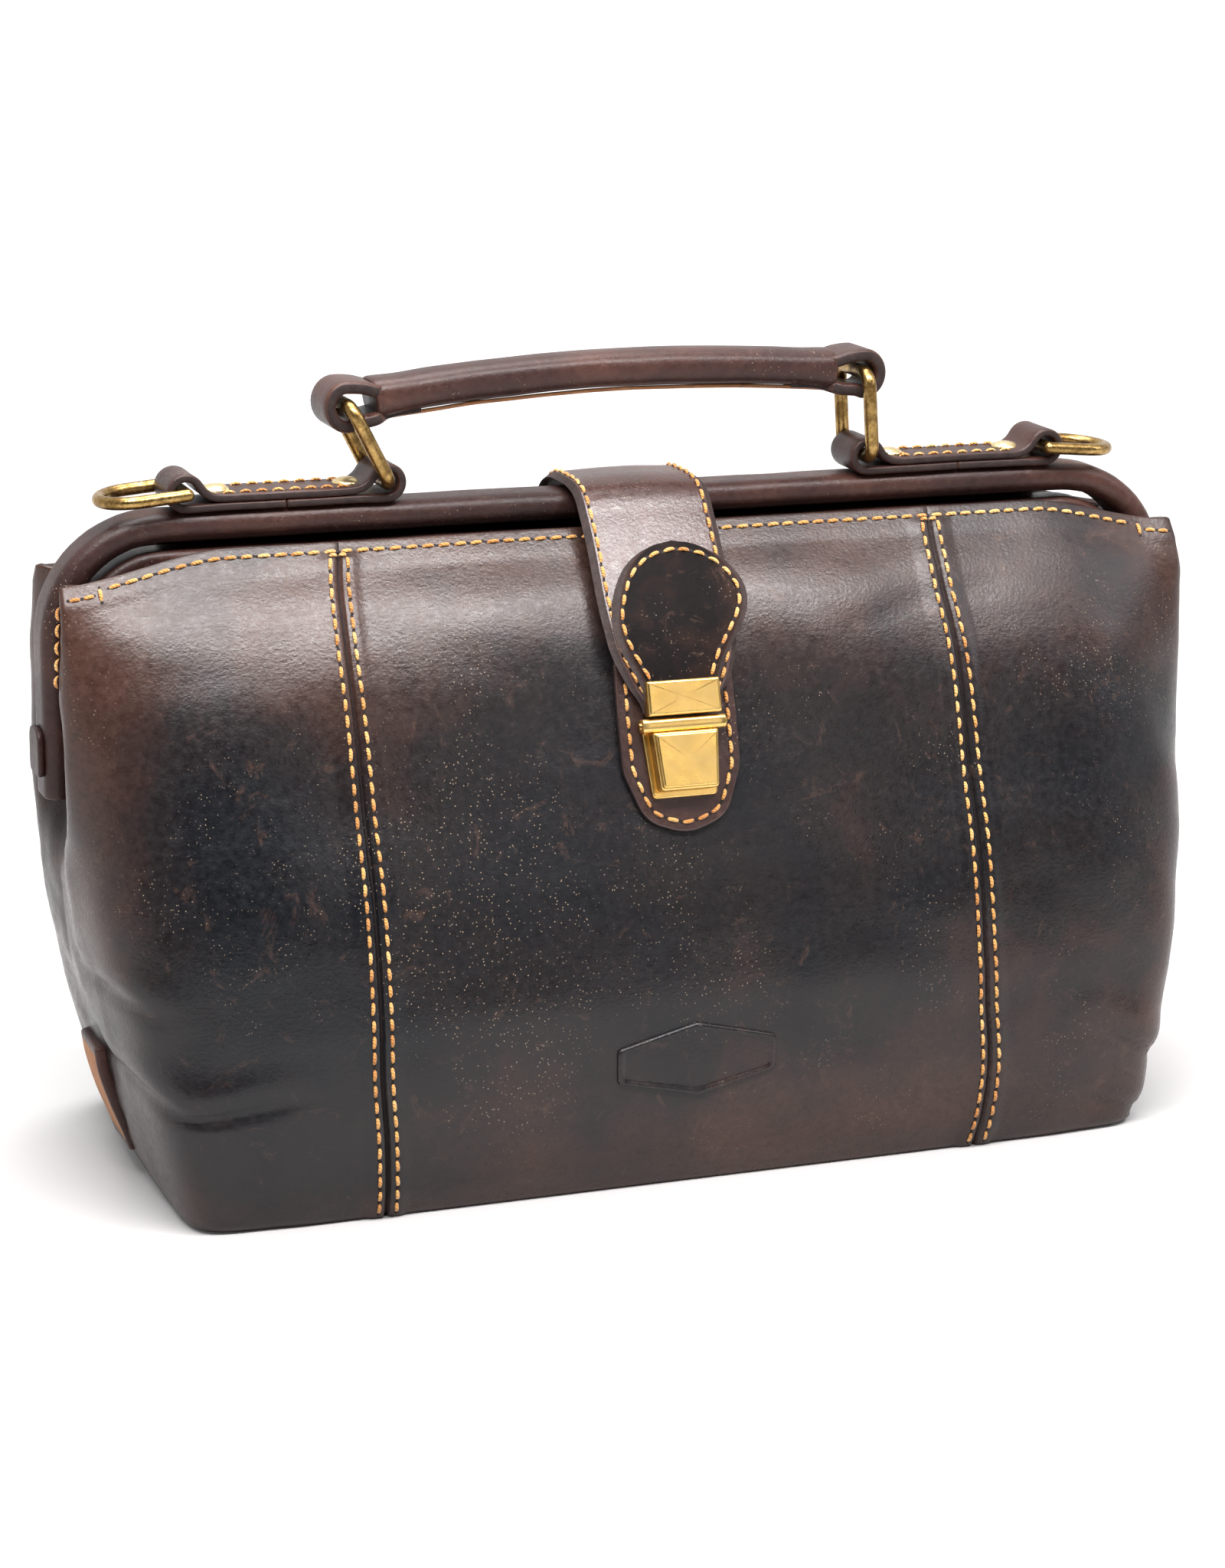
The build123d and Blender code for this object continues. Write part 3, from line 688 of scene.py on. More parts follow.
# front folds: (x, z) points, depth, width
CREASES = [
    ([(-186, 50), (-179, 47), (-173.6, 44.8), (-164.2, 39), (-158.1, 38.7), (-144.9, 40.4),
      (-130, 43.5)], 1.7, 2.2),
    ([(-188, 84.5), (-184.2, 76), (-179, 73.5), (-168, 69)], 1.3, 2.0),
    ([(138, 38), (152, 31), (168, 21)], 1.6, 2.3),
    ([(132, 15.5), (150, 9), (168, 1)], 1.3, 2.4),
    ([(-120, 150), (-135, 128), (-140, 100)], 0.35, 4.0),
    ([(60, 168), (85, 176), (120, 181)], 0.35, 3.0)]


def outline_points(z, side):
    """The 17 control points of one half's outline at height z, from left to right."""
    row = pchip(PROFILE[:, 0], PROFILE[:, 1:], [z])[0]
    corner = np.append(row[2:], 0.0).reshape(7, 2)
    if side == FRONT:
        left = pchip(SEAM_LEFT[:, 0], SEAM_LEFT[:, 1:], [z])[0, 0]
        right = pchip(SEAM_RIGHT[:, 0], SEAM_RIGHT[:, 1:], [z])[0, 0]
    else:
        left, right = -BACK_SEAM_X, BACK_SEAM_X
    panel = [(left, row[1]), (0, row[0]), (right, row[1])]
    return np.vstack([corner[::-1] * (-1, 1), panel, corner]) * (1, side)


def crease(x, z, points, depth, width):
    """A valley along a polyline with a soft ridge on the left of its direction."""
    points = np.array(points, float)
    nearest = np.full(x.shape, 1e9)
    progress, side = np.zeros(x.shape), np.zeros(x.shape)
    s = arclen(points)
    for i in range(len(points) - 1):
        a = points[i]
        ab = points[i + 1] - a
        t = np.clip(((x - a[0]) * ab[0] + (z - a[1]) * ab[1]) / (ab @ ab), 0, 1)
        distance = np.hypot(x - (a[0] + t * ab[0]), z - (a[1] + t * ab[1]))
        closer = distance < nearest
        nearest = np.where(closer, distance, nearest)
        progress = np.where(closer, (s[i] + t * (s[i + 1] - s[i])) / s[-1], progress)
        side = np.where(closer, np.sign(ab[0] * (z - a[1]) - ab[1] * (x - a[0])), side)
    fade = np.sin(np.pi * np.clip(progress * 0.9 + 0.05, 0, 1)) ** 0.6
    valley = -depth * np.exp(-(nearest / width) ** 2)
    ridge = 0.7 * depth * np.exp(-((nearest - 3.2 * width) / (2.2 * width)) ** 2)
    return fade * (valley + ridge * (side > 0))


class Shell:
    """Densely sampled surface of one half of the body."""

    def __init__(self, side):
        self.side = side
        points, arcs = [], []
        for i in range(SAMPLE_ROWS):
            z = HEM_Z * i / (SAMPLE_ROWS - 1)
            line = catmull(outline_points(z, side), PER_SPAN)
            line = np.column_stack([line, np.full(len(line), z)])
            points.append(line)
            arcs.append(arclen(line))
        self.points, self.arcs = np.array(points), np.array(arcs)
        self.anchors = self.arcs[:, ::PER_SPAN]

    def base(self, anchor, fraction, offset, v):
        """Point at an anchor, plus a fraction to the next, plus an arc offset, at height v."""
        anchor, fraction, offset = (np.broadcast_to(a, v.shape)
                                    for a in (anchor, fraction, offset))
        level = np.clip(v, 0, HEM_Z) * (SAMPLE_ROWS - 1) / HEM_Z
        low = np.minimum(np.floor(level).astype(int), SAMPLE_ROWS - 2)
        t = level - low
        total = 0
        for rows, weight in ((low, 1 - t), (low + 1, t)):
            found = np.zeros(v.shape + (3,))
            for idx in np.ndindex(v.shape):
                row, k = rows[idx], anchor[idx]
                stops, arcs = self.anchors[row], self.arcs[row]
                s = stops[k] + offset[idx]
                if fraction[idx] > 0:
                    s += fraction[idx] * (stops[k + 1] - stops[k])
                j = min(max(np.searchsorted(arcs, s) - 1, 0), len(arcs) - 2)
                u = (s - arcs[j]) / max(arcs[j + 1] - arcs[j], 1e-9)
                found[idx] = self.points[row, j] * (1 - u) + self.points[row, j + 1] * u
            total = total + weight[..., None] * found
        return total

    def lowered(self, p, v):
        """Drops the rows towards the upper corners and the folded ends."""
        ax, ay = np.abs(p[..., 0]), np.abs(p[..., 1])
        top = HEM_Z - 8.5 * smooth((ax - 134) / 52)
        top = top - 9.0 * (1 - smooth((ay - 1) / 15)) * smooth((ax - 150) / 12)
        p = p.copy()
        p[..., 2] = v - (HEM_Z - top) * smooth((v - 150) / 52)
        return p

    def point(self, anchor, fraction, offset, v, seam_distance):
        """Displaced surface point and outward normal."""
        v = np.asarray(v, float)
        e = 0.8     # step of the finite differences

        def plain(off, height):
            return self.lowered(self.base(anchor, fraction, off, height), height)

        p = plain(offset, v)
        along = plain(np.asarray(offset) + e, v) - plain(np.asarray(offset) - e, v)
        above = plain(offset, np.clip(v + e, 0, HEM_Z))
        upward = above - plain(offset, np.clip(v - e, 0, HEM_Z))
        normal = unit(np.cross(along, upward)) * -self.side
        return p + normal * self.relief(p, v, seam_distance)[..., None], normal

    def seam_line(self, anchor, offset, v0, v1, n):
        """Upright surface line beside an anchor."""
        return self.point(anchor, 0.0, offset, np.linspace(v0, v1, n), offset)

    def at_x(self, x, v):
        """Surface points at given x and height v, between the corners of this half."""
        x, v = np.broadcast_arrays(np.asarray(x, float), v)
        span = slice(4 * PER_SPAN, 12 * PER_SPAN + 1)
        arcs = []
        for xi, vi in zip(x, v):
            row = int(round(vi * (SAMPLE_ROWS - 1) / HEM_Z))
            arcs.append(np.interp(xi, self.points[row, span, 0], self.arcs[row, span]))
        return self.point(0, 0.0, arcs, v, FAR)

    def relief(self, p, v, seam_distance):
        x, y, z = p[..., 0], p[..., 1], p[..., 2]
        ax, ay = np.abs(x), np.abs(y)
        flat = p.reshape(-1, 3)

        def ripple(size, shift, octaves, seed):
            return fbm(flat / np.array(size) + shift, octaves, seed).reshape(x.shape)

        big = ripple((62, 62, 48), 0.0, 2, 11)
        medium = ripple((24, 24, 20), 7.7, 3, 23)
        fine = ripple(7.0, 0.0, 2, 41)
        fade = smooth((v - 2) / 26) * (1 - 0.75 * smooth((v - 186) / 14))
        h = fade * (1.5 * big + 0.55 * medium) + 0.10 * fine * smooth(v / 10)
        if self.side == FRONT:
            # a bulge and a hollow on each side of the strap, then the creases
            h += 2.0 * np.exp(-((ax - 50) / 24) ** 2) * np.exp(-((z - 180) / 15) ** 2)
            h -= 1.6 * np.exp(-((ax - 34) / 16) ** 2) * np.exp(-((z - 150) / 16) ** 2)
            for points, depth, width in CREASES:
                h += crease(x, z, points, depth, width) * smooth((ay - 5) / 24)
        # slanting wrinkles beside the corners
        waves = np.sin((ax * 0.9 + 9 * big + z * 0.55) / 4.2)
        h += (0.35 * waves * np.exp(-((ax - 170) / 12) ** 2) * smooth((z - 20) / 30)
              * (1 - smooth((z - 150) / 30)) * (ay > 20))
        # crumpled end panels
        end = smooth((30 - ay) / 16) * smooth((ax - 150) / 14)
        h += (end * (1.6 * medium + 0.5 * fine) * smooth((z - 8) / 25)
              * (1 - smooth((z - 170) / 20)))
        # raised lips on both sides of a narrow seam groove
        ad = np.abs(seam_distance)
        lip = 0.75 * smooth((7.0 - ad) / 2.6) * smooth((ad - 0.35) / 0.9)
        groove = 0.9 * smooth((0.8 - ad) / 0.6)
        h += (lip - groove) * (1 - 0.85 * smooth((v - 197.5) / 2.5))
        # doubled hem
        h += 0.18 * smooth((v - 194.0) / 3.0)
        return h


def mesh_columns():
    """Mesh columns as rows of anchor, fraction, offset, distance to the nearest seam."""
    seam_offsets = [0.0, 0.3, 0.75, 1.4, 2.6, 3.8, 5.2, 6.6, 8.5]
    quarters = [0.0, 0.25, 0.5, 0.75]
    spans = [
        (0, [0.3, 0.65]), (1, quarters), (2, quarters), (3, quarters),
        (4, [0, 0.12, 0.25, 0.4, 0.55, 0.7, 0.85]),
        (5, [0, 0.12, 0.25, 0.37, 0.5, 0.62, 0.75, 0.87]),
        (6, [0, 0.1, 0.2, 0.3, 0.4, 0.5, 0.6, 0.69])]
    left = [(0, 0, 0.0, FAR), (0, 0, 0.35, FAR)]
    left += [(k, f, 0.0, FAR) for k, fractions in spans for f in fractions]
    left += [(LEFT_SEAM, 0, -o, -o) for o in reversed(seam_offsets)]
    left += [(LEFT_SEAM, 0, o, o) for o in seam_offsets[1:]]
    left += [(LEFT_SEAM, 0.12 + 0.88 * i / 17, 0.0, FAR) for i in range(1, 17)]
    right = []
    for k, f, o, d in reversed(left):
        d = d if d == FAR else -d
        if f > 0:
            right.append((LAST_ANCHOR - 1 - k, 1 - f, -o, d))
        else:
            right.append((LAST_ANCHOR - k, 0, -o, d))
    return np.array(left + [(MIDDLE, 0, 0.0, FAR)] + right)


COLUMNS = mesh_columns()
MESH_ROWS = np.unique(np.concatenate([
    [0, 0.6, 1.2, 2.2, 3.5, 5.5], np.arange(8, 30, 2.2), np.arange(30, 52, 1.5),
    np.arange(52, 190, 2.5), np.arange(190, 202.01, 1.0), [192.6, 193.4, 201.5]]))


def shell_grid(shell, columns, rows):
    """Surface points and normals of every row and column."""
    anchor, fraction, offset, seam_distance = columns.T
    v = np.repeat(rows[:, None], len(columns), axis=1)
    return shell.point(anchor.astype(int), fraction, offset, v,
                       np.broadcast_to(seam_distance, v.shape))


def build_half(name, shell):
    points, normals = shell_grid(shell, COLUMNS, MESH_ROWS)
    # rounded top edge, then the inside face going down
    up = np.array([0, 0, 0.55])
    rim = [points[-1] - normals[-1] * depth + up for depth in (0.45, 1.75)]
    inside = points - normals * LEATHER
    grid = np.concatenate([points, rim, inside[::-1]])
    across, rows = len(COLUMNS), len(MESH_ROWS)
    distance = np.abs(COLUMNS[:, 3])
    faces = grid_faces(across, len(grid))
    body, groove, edge, lining = range(4)
    face_mats = []
    for face in faces:
        v, u = divmod(face[0], across)
        if v < rows - 1:
            in_groove = max(distance[u], distance[u + 1]) < 0.4
            face_mats.append(groove if in_groove else body)
        elif v < rows + 2:
            face_mats.append(edge if v == rows else body)
        else:
            face_mats.append(lining)
    if shell.side == BACK:
        faces = [tuple(reversed(face)) for face in faces]
    return new_mesh(name, grid.reshape(-1, 3), faces,
                    [M_BODY, M_GROOVE, M_EDGE, M_LINING], face_mats)


SHELLS = {FRONT: Shell(FRONT), BACK: Shell(BACK)}
HALVES = [
    (FRONT, "front", ("front_panel", "front_hem_band", "front_fold_leather",
                      "side_panel_left", "gusset_fold_left")),
    (BACK, "back", ("back_panel", "back_hem_band", "back_fold_leather",
                    "side_panel_right", "gusset_fold_right"))]
for side, label, replaced in HALVES:
    ob = build_half("body_" + label, SHELLS[side])
    follow_frame(ob)
    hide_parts(*replaced)


def foot_ring():
    """Closed outline of the foot of both halves."""
    foot = np.zeros(1)
    front = shell_grid(SHELLS[FRONT], COLUMNS, foot)[0][0]
    back = shell_grid(SHELLS[BACK], COLUMNS, foot)[0][0][::-1]
    return np.vstack([front[:-1], back[:-1]])


def build_base(ring):
    """Sheet closing the foot of both halves."""
    # scale of the ring, height
    levels = [(1.0, 0.0), (0.985, -0.05), (0.9, 0.5), (0.6, 0.9), (0.3, 1.0), (0.02, 1.0)]
    rings = [ring * (k, k, 0) + (0, 0, z) for k, z in levels]
    rings += [ring * (k, k, 0) * 0.985 + (0, 0, z + 2.4) for k, z in reversed(levels)]
    ob = new_mesh("base_leather", np.vstack(rings),
                  grid_faces(len(ring), len(rings), closed=True), [M_BODY])
    fix_normals(ob)
    attach(ob, "bag", "leather_dark", "base_panel")


FOOT_RING = foot_ring()
build_base(FOOT_RING)


def body_stitches(shell):
    parts = []
    for seam in (LEFT_SEAM, RIGHT_SEAM):
        for offset in (-2.8, 2.8):
            line = shell.seam_line(seam, offset, 2.0, 198.6, 200)
            parts += stitch_row(*line, seed=seam * 10 + int(offset),
                                slant=0.12 * np.sign(offset))
        # bar tack joining the two rows at the hem
        tack = shell.point(seam, 0.0, np.array([-3.4, -1, 1, 3.4]), np.full(4, 198.4), 3.0)
        parts += stitch_row(*(resample(line, 12) for line in tack), seed=seam, pitch=3.2,
                            radius=0.6, start=0.2, holes=False)
    if shell.side == FRONT:
        # short rows at the upper corners
        for anchor, offset in ((4, -3.8), (12, 3.8)):
            parts += stitch_row(*shell.seam_line(anchor, offset, 196.5, 164.0, 60), seed=anchor)
    hem_x = np.linspace(-172, 172, 300)
    parts += stitch_row(*shell.at_x(hem_x, 199.6), seed=5, slant=0.10)
    # upper corners: a short upright run, then level to the tip
    for end in (-1, 1):
        parts += stitch_row(*shell.at_x(174.5 * end, np.linspace(200.6, 195.4, 12)), seed=6)
        tip_x = np.linspace(176 * end, 185.5 * end, 30)
        parts += stitch_row(*shell.at_x(tip_x, 198.4), seed=8)
    return parts


for side, label, _ in HALVES:
    ob = stitching("body_stitching_" + label, body_stitches(SHELLS[side]))
    follow_frame(ob)


# ------------------------------------------------------------------------- strap
# lock plane: x across, v up the plane, n out of it
LOCK_TILT = math.radians(17.5)
LOCK_ORIGIN = np.array([-1.3, -53.8, 141])
LOCK_UP = np.array([0, math.sin(LOCK_TILT), math.cos(LOCK_TILT)])
LOCK_OUT = np.array([0, -math.cos(LOCK_TILT), math.sin(LOCK_TILT)])


def lock_point(x, v, n):
    return LOCK_ORIGIN + np.array([x, 0, 0]) + v * LOCK_UP + n * LOCK_OUT


# (y, z) of the middle of the thickness, from the lock over the bar and down the back
STRAP_PATH = yz_line([
    lock_point(0, 8.6, 4.5)[1:], lock_point(0, 18, 4.9)[1:],
    (-45.5, 174.5), (-38.0, 185.0), (-29.2, 196.5), (-22.0, 205.5), (-16.2, 211.8),
    (-9.5, 214.1), (0, 214.5), (9.5, 214.1), (16.5, 211.3), (21.5, 206.0), (26.5, 198.0),
    (32.0, 189.0)], 170)
# z, left edge x, right edge x of the front part; the back part has straight edges
STRAP_EDGES = np.array([
    (148, -13.0, 10.6), (152, -13.6, 11.0), (160, -18.2, 16.4), (171, -22.2, 20.4),
    (183, -23.0, 22.0), (200, -22.4, 22.2), (216, -22.6, 22.4)])
STRAP_BACK_EDGES = -22.5, 22.4
STRIP_EDGE_RADIUS = 1.0


def strip(name, path, left, right, thickness, mats, bow, seed, waviness):
    """Leather strip on a (y, z) path with the given edge x at each station.

    Returns the object and a function that finds points and normals on its outer face.
    """
    stations = len(path)
    per_face = 22
    around = 2 * per_face
    normals = np.column_stack([np.zeros(stations), yz_normals(path)])
    across = np.linspace(-1, 1, per_face)
    q = np.concatenate([across, across[::-1]])
    face_sign = np.repeat([1, -1], per_face)
    middle, half = (left + right) / 2, (right - left) / 2
    inset = half[:, None] * (1 - np.abs(q))
    edge = np.maximum(0.0, STRIP_EDGE_RADIUS - inset) / STRIP_EDGE_RADIUS
    height = face_sign * thickness / 2 * np.sqrt(np.maximum(0.0, 1 - edge * edge))
    verts = normals[:, None] * (height + bow * (1 - q * q))[..., None]
    verts[..., 0] += middle[:, None] + q * half[:, None]
    verts[..., 1:] += path[:, None]

    def wave(points):
        return (waviness * fbm(points / 17.0, 2, seed + 5))[:, None]

    verts = verts.reshape(-1, 3)
    verts = verts + np.repeat(normals, around, axis=0) * wave(verts)
    faces = tube_faces(around, stations)
    edge_columns = (0, per_face - 2, per_face - 1, per_face, around - 2, around - 1)
    face_mats = [int(len(face) > 4 or face[0] % around in edge_columns) for face in faces]
    ob = new_mesh(name, verts, faces, mats, face_mats)
    fix_normals(ob)

    def surface(station, x):
        def here(values):
            return np.interp(station, np.arange(stations), values)

        normal = unit(np.stack([here(column) for column in normals.T], -1))
        share = np.clip((x - here(middle)) / here(half), -1, 1)
        base = np.stack([x, here(path[:, 0]), here(path[:, 1])], -1)
        base = base + normal * (thickness / 2 + bow * (1 - share * share))[:, None]
        return base + normal * wave(base), normal

    return ob, surface


def build_strap():
    z = STRAP_PATH[:, 1]
    last = len(z)
    on_front = np.arange(last) < np.argmax(z)
    edges = pchip(STRAP_EDGES[:, 0], STRAP_EDGES[:, 1:], z)
    left, right = np.where(on_front[:, None], edges, STRAP_BACK_EDGES).T
    ob, surface = strip("strap_leather_piece", STRAP_PATH, left, right, 2.6,
                        [M_STRAP, M_EDGE], bow=0.9, seed=3, waviness=0.25)
    follow_strap(ob)
    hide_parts("strap_back", "strap_bend", "strap_tip")

    stations = np.linspace(6, last - 3, 260)
    parts = []
    for edge, sign in ((left, 1), (right, -1)):
        x = np.interp(stations, np.arange(last), edge) + sign * 3.2
        parts += stitch_row(*surface(stations, x), seed=31 + sign, slant=0.1 * sign)
    # row across the strap near its back end
    across = surface(np.full(30, last - 12.0), np.linspace(-19, 19, 30))
    parts += stitch_row(*across, seed=37)
    ob = stitching("strap_stitching", parts)
    follow_strap(ob)


def build_overlay():
    """Pear-shaped overlay on the strap: round head at the top, waist at the lock."""
    stations, bottom_z, top_z = 70, 153.6, 197.2
    head_radius, waist = 22.6, 12.2
    head_x, waist_x = 4.3, -1.4
    lift = 2.45         # above the middle of the strap
    stitch_inset = 3.1
    first = np.interp(bottom_z, STRAP_PATH[:60, 1], np.arange(60))
    last = np.interp(top_z, STRAP_PATH[:100, 1], np.arange(100))
    path = interp_rows(np.linspace(first, last, stations), np.arange(len(STRAP_PATH)),
                       STRAP_PATH)
    path = path + yz_normals(path) * lift
    s = arclen(path)
    from_top = s[-1] - s
    head = np.sqrt(np.maximum(head_radius ** 2 - (head_radius - from_top) ** 2, 1.2))
    taper = smooth((from_top - head_radius) / (s[-1] - head_radius) * 1.06)
    neck = waist + (head_radius - waist) * (1 - taper) ** 0.9
    half = np.where(from_top < head_radius, head, neck)
    middle = head_x + (waist_x - head_x) * smooth((from_top - 12) / 30.0)
    left, right = middle - half, middle + half
    ob, surface = strip("strap_overlay_piece", path, left, right, 2.0,
                        [M_OVERLAY, M_EDGE], bow=0.45, seed=8, waviness=0.2)
    attach(ob, "strap_flap", "leather", "strap_overlay")

    # outline in (x, length) moved inwards, without the points that fall too near an edge
    outline = np.column_stack([np.concatenate([left, right[::-1]]),
                               np.concatenate([s, s[::-1]])])
    along = np.gradient(outline, axis=0)
    inner = outline + unit(np.column_stack([along[:, 1], -along[:, 0]])) * stitch_inset
    kept = [p for p in inner
            if np.hypot(*(outline - p).T).min() > stitch_inset - 0.15 and p[1] > 1.0]
    line = resample(kept, 300)
    where = np.interp(line[:, 1], s, np.arange(stations))
    parts = stitch_row(*surface(where, line[:, 0]), seed=44, slant=0.12, start=0.8)
    attach(stitching("strap_overlay_stitching", parts), "strap_flap", "thread")


build_strap()
build_overlay()


# -------------------------------------------------------------------------- lock
def rounded_outline(corners, radii, arc_steps=5):
    """Closed polygon with rounded corners; radii is one number or one per corner."""
    corners = np.array(corners, float)
    radii = np.broadcast_to(radii, len(corners))
    outline = []
    for i, (p, radius) in enumerate(zip(corners, radii)):
        before, after = corners[i - 1] - p, corners[(i + 1) % len(corners)] - p
        u, v = unit(before), unit(after)
        cut = min(radius / math.tan(math.acos(float(u @ v)) / 2),
                  np.linalg.norm(before) * 0.49, np.linalg.norm(after) * 0.49)
        start, end = p + u * cut, p + v * cut
        for j in range(arc_steps + 1):
            t = j / arc_steps
            outline.append((1 - t) ** 2 * start + 2 * t * (1 - t) * p + t * t * end)
    return np.array(outline)


def inset_outline(outline, distance):
    following = np.roll(outline, -1, 0)
    along = unit(following - np.roll(outline, 1, 0))
    area = np.sum(outline[:, 0] * following[:, 1] - following[:, 0] * outline[:, 1])
    inward = np.column_stack([-along[:, 1], along[:, 0]]) * (1 if area > 0 else -1)
    return outline + inward * distance


def plate(name, outline, bottom, top, mats, bevel, steps=4, place=lock_point, extra=(),
          flat_top=False):
    """Bevelled plate; extra (inset, height) rings carry on over the top."""
    profile = [(bevel * 0.6, bottom), (0.0, bottom + bevel * 0.6)]
    for i in range(steps + 1):
        a = math.pi / 2 * i / steps
        profile.append((bevel * (1 - math.cos(a)), top - bevel + bevel * math.sin(a)))
    profile += extra
    rings = [(inset_outline(outline, inset), height) for inset, height in profile]
    inner, height = rings[-1]
    centre = outline.mean(0)
    rings += [(centre + (inner - centre) * k, height) for k in (0.6, 0.25)]
    verts = [place(a, b, n) for ring, n in rings for a, b in ring]
    ob = new_mesh(name, np.array(verts), tube_faces(len(outline), len(rings)), mats)
    fix_normals(ob)
    if flat_top:
        # crisp face inside the rounded rim
        first_top = (len(rings) - 3) * len(outline)
        for face in ob.data.polygons:
            if min(face.vertices) >= first_top:
                face.use_smooth = False
    return ob


def build_lock_patch():
    """Leather patch behind the lock."""
    top = 2.5
    corners = [(-19.2, 27), (19.2, 27), (19.6, 8), (19.5, -9), (13.5, -24.8), (0, -29.6),
               (-13.5, -24.8), (-19.5, -9), (-19.6, 8)]
    outline = rounded_outline(corners, [3, 3, 10, 14, 12, 16, 12, 14, 10], arc_steps=6)
    ob = plate("lock_patch_leather", outline, 0.3, top, [M_STRAP, M_EDGE], bevel=0.7)
    for face in ob.data.polygons:
        if face.index < len(outline) * 3:
            face.material_index = 1
    attach(ob, "bag", "leather", "lock_patch")
    # stitches run round the sides and the bottom, so the line starts at the open top
    line = resample_closed(inset_outline(outline, 3.0), 300)
    line = line[line[:, 1] < 20]
    gaps = np.linalg.norm(np.roll(line, -1, axis=0) - line, axis=1)
    line = resample(np.roll(line, -(np.argmax(gaps) + 1), axis=0), 240)
    points = np.array([lock_point(x, v, top) for x, v in line])
    parts = stitch_row(points, np.tile(LOCK_OUT, (len(points), 1)), seed=51, slant=0.1)
    attach(stitching("lock_patch_stitching", parts), "bag", "thread")


def lock_plate(name, corners, radii, bottom, top, body, replaced, **shape):
    ob = plate(name, rounded_outline(corners, radii), bottom, top, [M_GOLD], flat_top=True,
               **shape)
    attach(ob, body, "bright_brass", replaced)


def lock_rod(name, x0, x1, stations, n, section, mat, round_ends, *replaced):
    """Level rod across the lock."""
    path = np.array([lock_point(x, 4.6, n) for x in np.linspace(x0, x1, stations)])
    ob = sweep(name, path, LOCK_UP, section, [mat], round_ends=round_ends)
    attach(ob, "bag", "bright_brass", *replaced)


def build_lock():
    build_lock_patch()
    lock_plate("lock_back_plate", [(-12.8, 3.2), (12.0, 3.2), (10.2, -17.9), (-11.1, -17.9)],
               [1, 1, 1.6, 1.6], 2.6, 4.2, "bag", "lock_base_plate", bevel=0.5)
    lock_plate("lock_body", [(-11.0, 2.4), (10.8, 2.4), (9.4, -15.9), (-9.8, -15.9)],
               [0.8, 0.8, 1.6, 1.6], 4.0, 8.9, "bag", "lock_housing", bevel=0.9, steps=5,
               extra=[(1.9, 8.95), (2.0, 8.8), (2.2, 8.75)])
    lock_plate("lock_push_face", [(-10.3, 1.7), (10.1, 1.7), (8.8, -15.1), (-9.2, -15.1)],
               [0.6, 0.6, 1.3, 1.3], 6.0, 9.7, "lock_button", "lock_button", bevel=0.7)
    lock_rod("lock_hinge_bar", -13.4, 13.2, 14, 6.4, rounded_rect(4.4, 5.0, 1.5, 5),
             M_GOLD, 0.5, "lock_crossbar")
    a = np.linspace(0, 2 * math.pi, 14, endpoint=False)
    pin_section = 1.25 * np.column_stack([np.cos(a), np.sin(a)])
    lock_rod("lock_hinge_pin", -14.3, 14.1, 6, 6.3, pin_section, M_ANTIQUE, 0.4)
    lock_plate("lock_tongue", [(-12.1, 7.4), (12.1, 7.4), (12.1, 18.2), (-12.1, 18.2)],
               0.7, 5.6, 10.4, "strap_flap", "lock_tongue_plate", bevel=0.9, steps=5)


build_lock()


# ------------------------------------------------------- frame bars and flanges
def u_path(half_width, thickness, top, radius):
    """Middle line of an upside-down U in the plane y = 0."""
    foot, step = 126.0, 4.0
    x, r, z = half_width - thickness / 2, radius - thickness / 2, top - thickness / 2
    half = [(-x, 0, q) for q in np.arange(foot, z - r, step)]
    for a in np.radians(np.linspace(180, 90, 12)):
        half.append((-x + r + r * math.cos(a), 0, z - r + r * math.sin(a)))
    half += [(q, 0, z) for q in np.arange(-x + r + step, 0, step)]
    half = np.array(half)
    full = np.vstack([half, (half * (-1, 1, 1))[::-1]])
    return resample(full, int(arclen(full)[-1] / 3.0))


def frame_bar(label, half_width, thickness, depth, top, radius, edge_radius, seed):
    path = u_path(half_width, thickness, top, radius)
    section = split_edges(rounded_rect(depth, thickness, edge_radius, 6), 2.5)
    ob = sweep("frame_bar_" + label, path, ALONG_Y, section, [M_TRIM, M_EDGE],
               round_ends=0.8, wobble=(seed, 0.22))
    attach(ob, "frame_" + label, "leather_dark", "frame_wrap_" + label)


def hem_flange(label, points):
    """Leather web from a wrapped bar to its hem, along the given (y, z) points."""
    half_length, thickness, stations = 150, 1.8, 60
    line = yz_line(points, 14)
    x = np.linspace(-half_length, half_length, stations)
    outline = np.vstack([line, (line + yz_normals(line) * thickness)[::-1]])
    rows = []
    for y, z in outline:
        y_all, z_all = np.full(stations, y), np.full(stations, z)
        wave = 0.35 * noise3(np.column_stack([x / 18, y_all / 9, z_all / 9]), 9)
        rows.append(np.column_stack([x, y_all + wave, z_all]))
    verts = np.array(rows).transpose(1, 0, 2).reshape(-1, 3)
    ob = new_mesh("hem_flange_" + label, verts, tube_faces(len(outline), stations), [M_TRIM])
    fix_normals(ob)
    attach(ob, "frame_" + label, "leather_dark")


def hinge_patch(label, side):
    """Small patch on the outside of a leg of the back bar."""
    outline = rounded_outline([(-6.8, -8), (6.8, -8), (6.8, 7), (-6.8, 7)], [3, 3, 5, 5])
    ob = plate("hinge_patch_" + label, outline, 0.1, 2.0, [M_COVER, M_EDGE], bevel=0.6,
               place=lambda a, b, n: np.array([side * (190.4 + n), a, 140 + b]))
    attach(ob, "frame_back", "leather_dark", "hinge_cover_" + label)


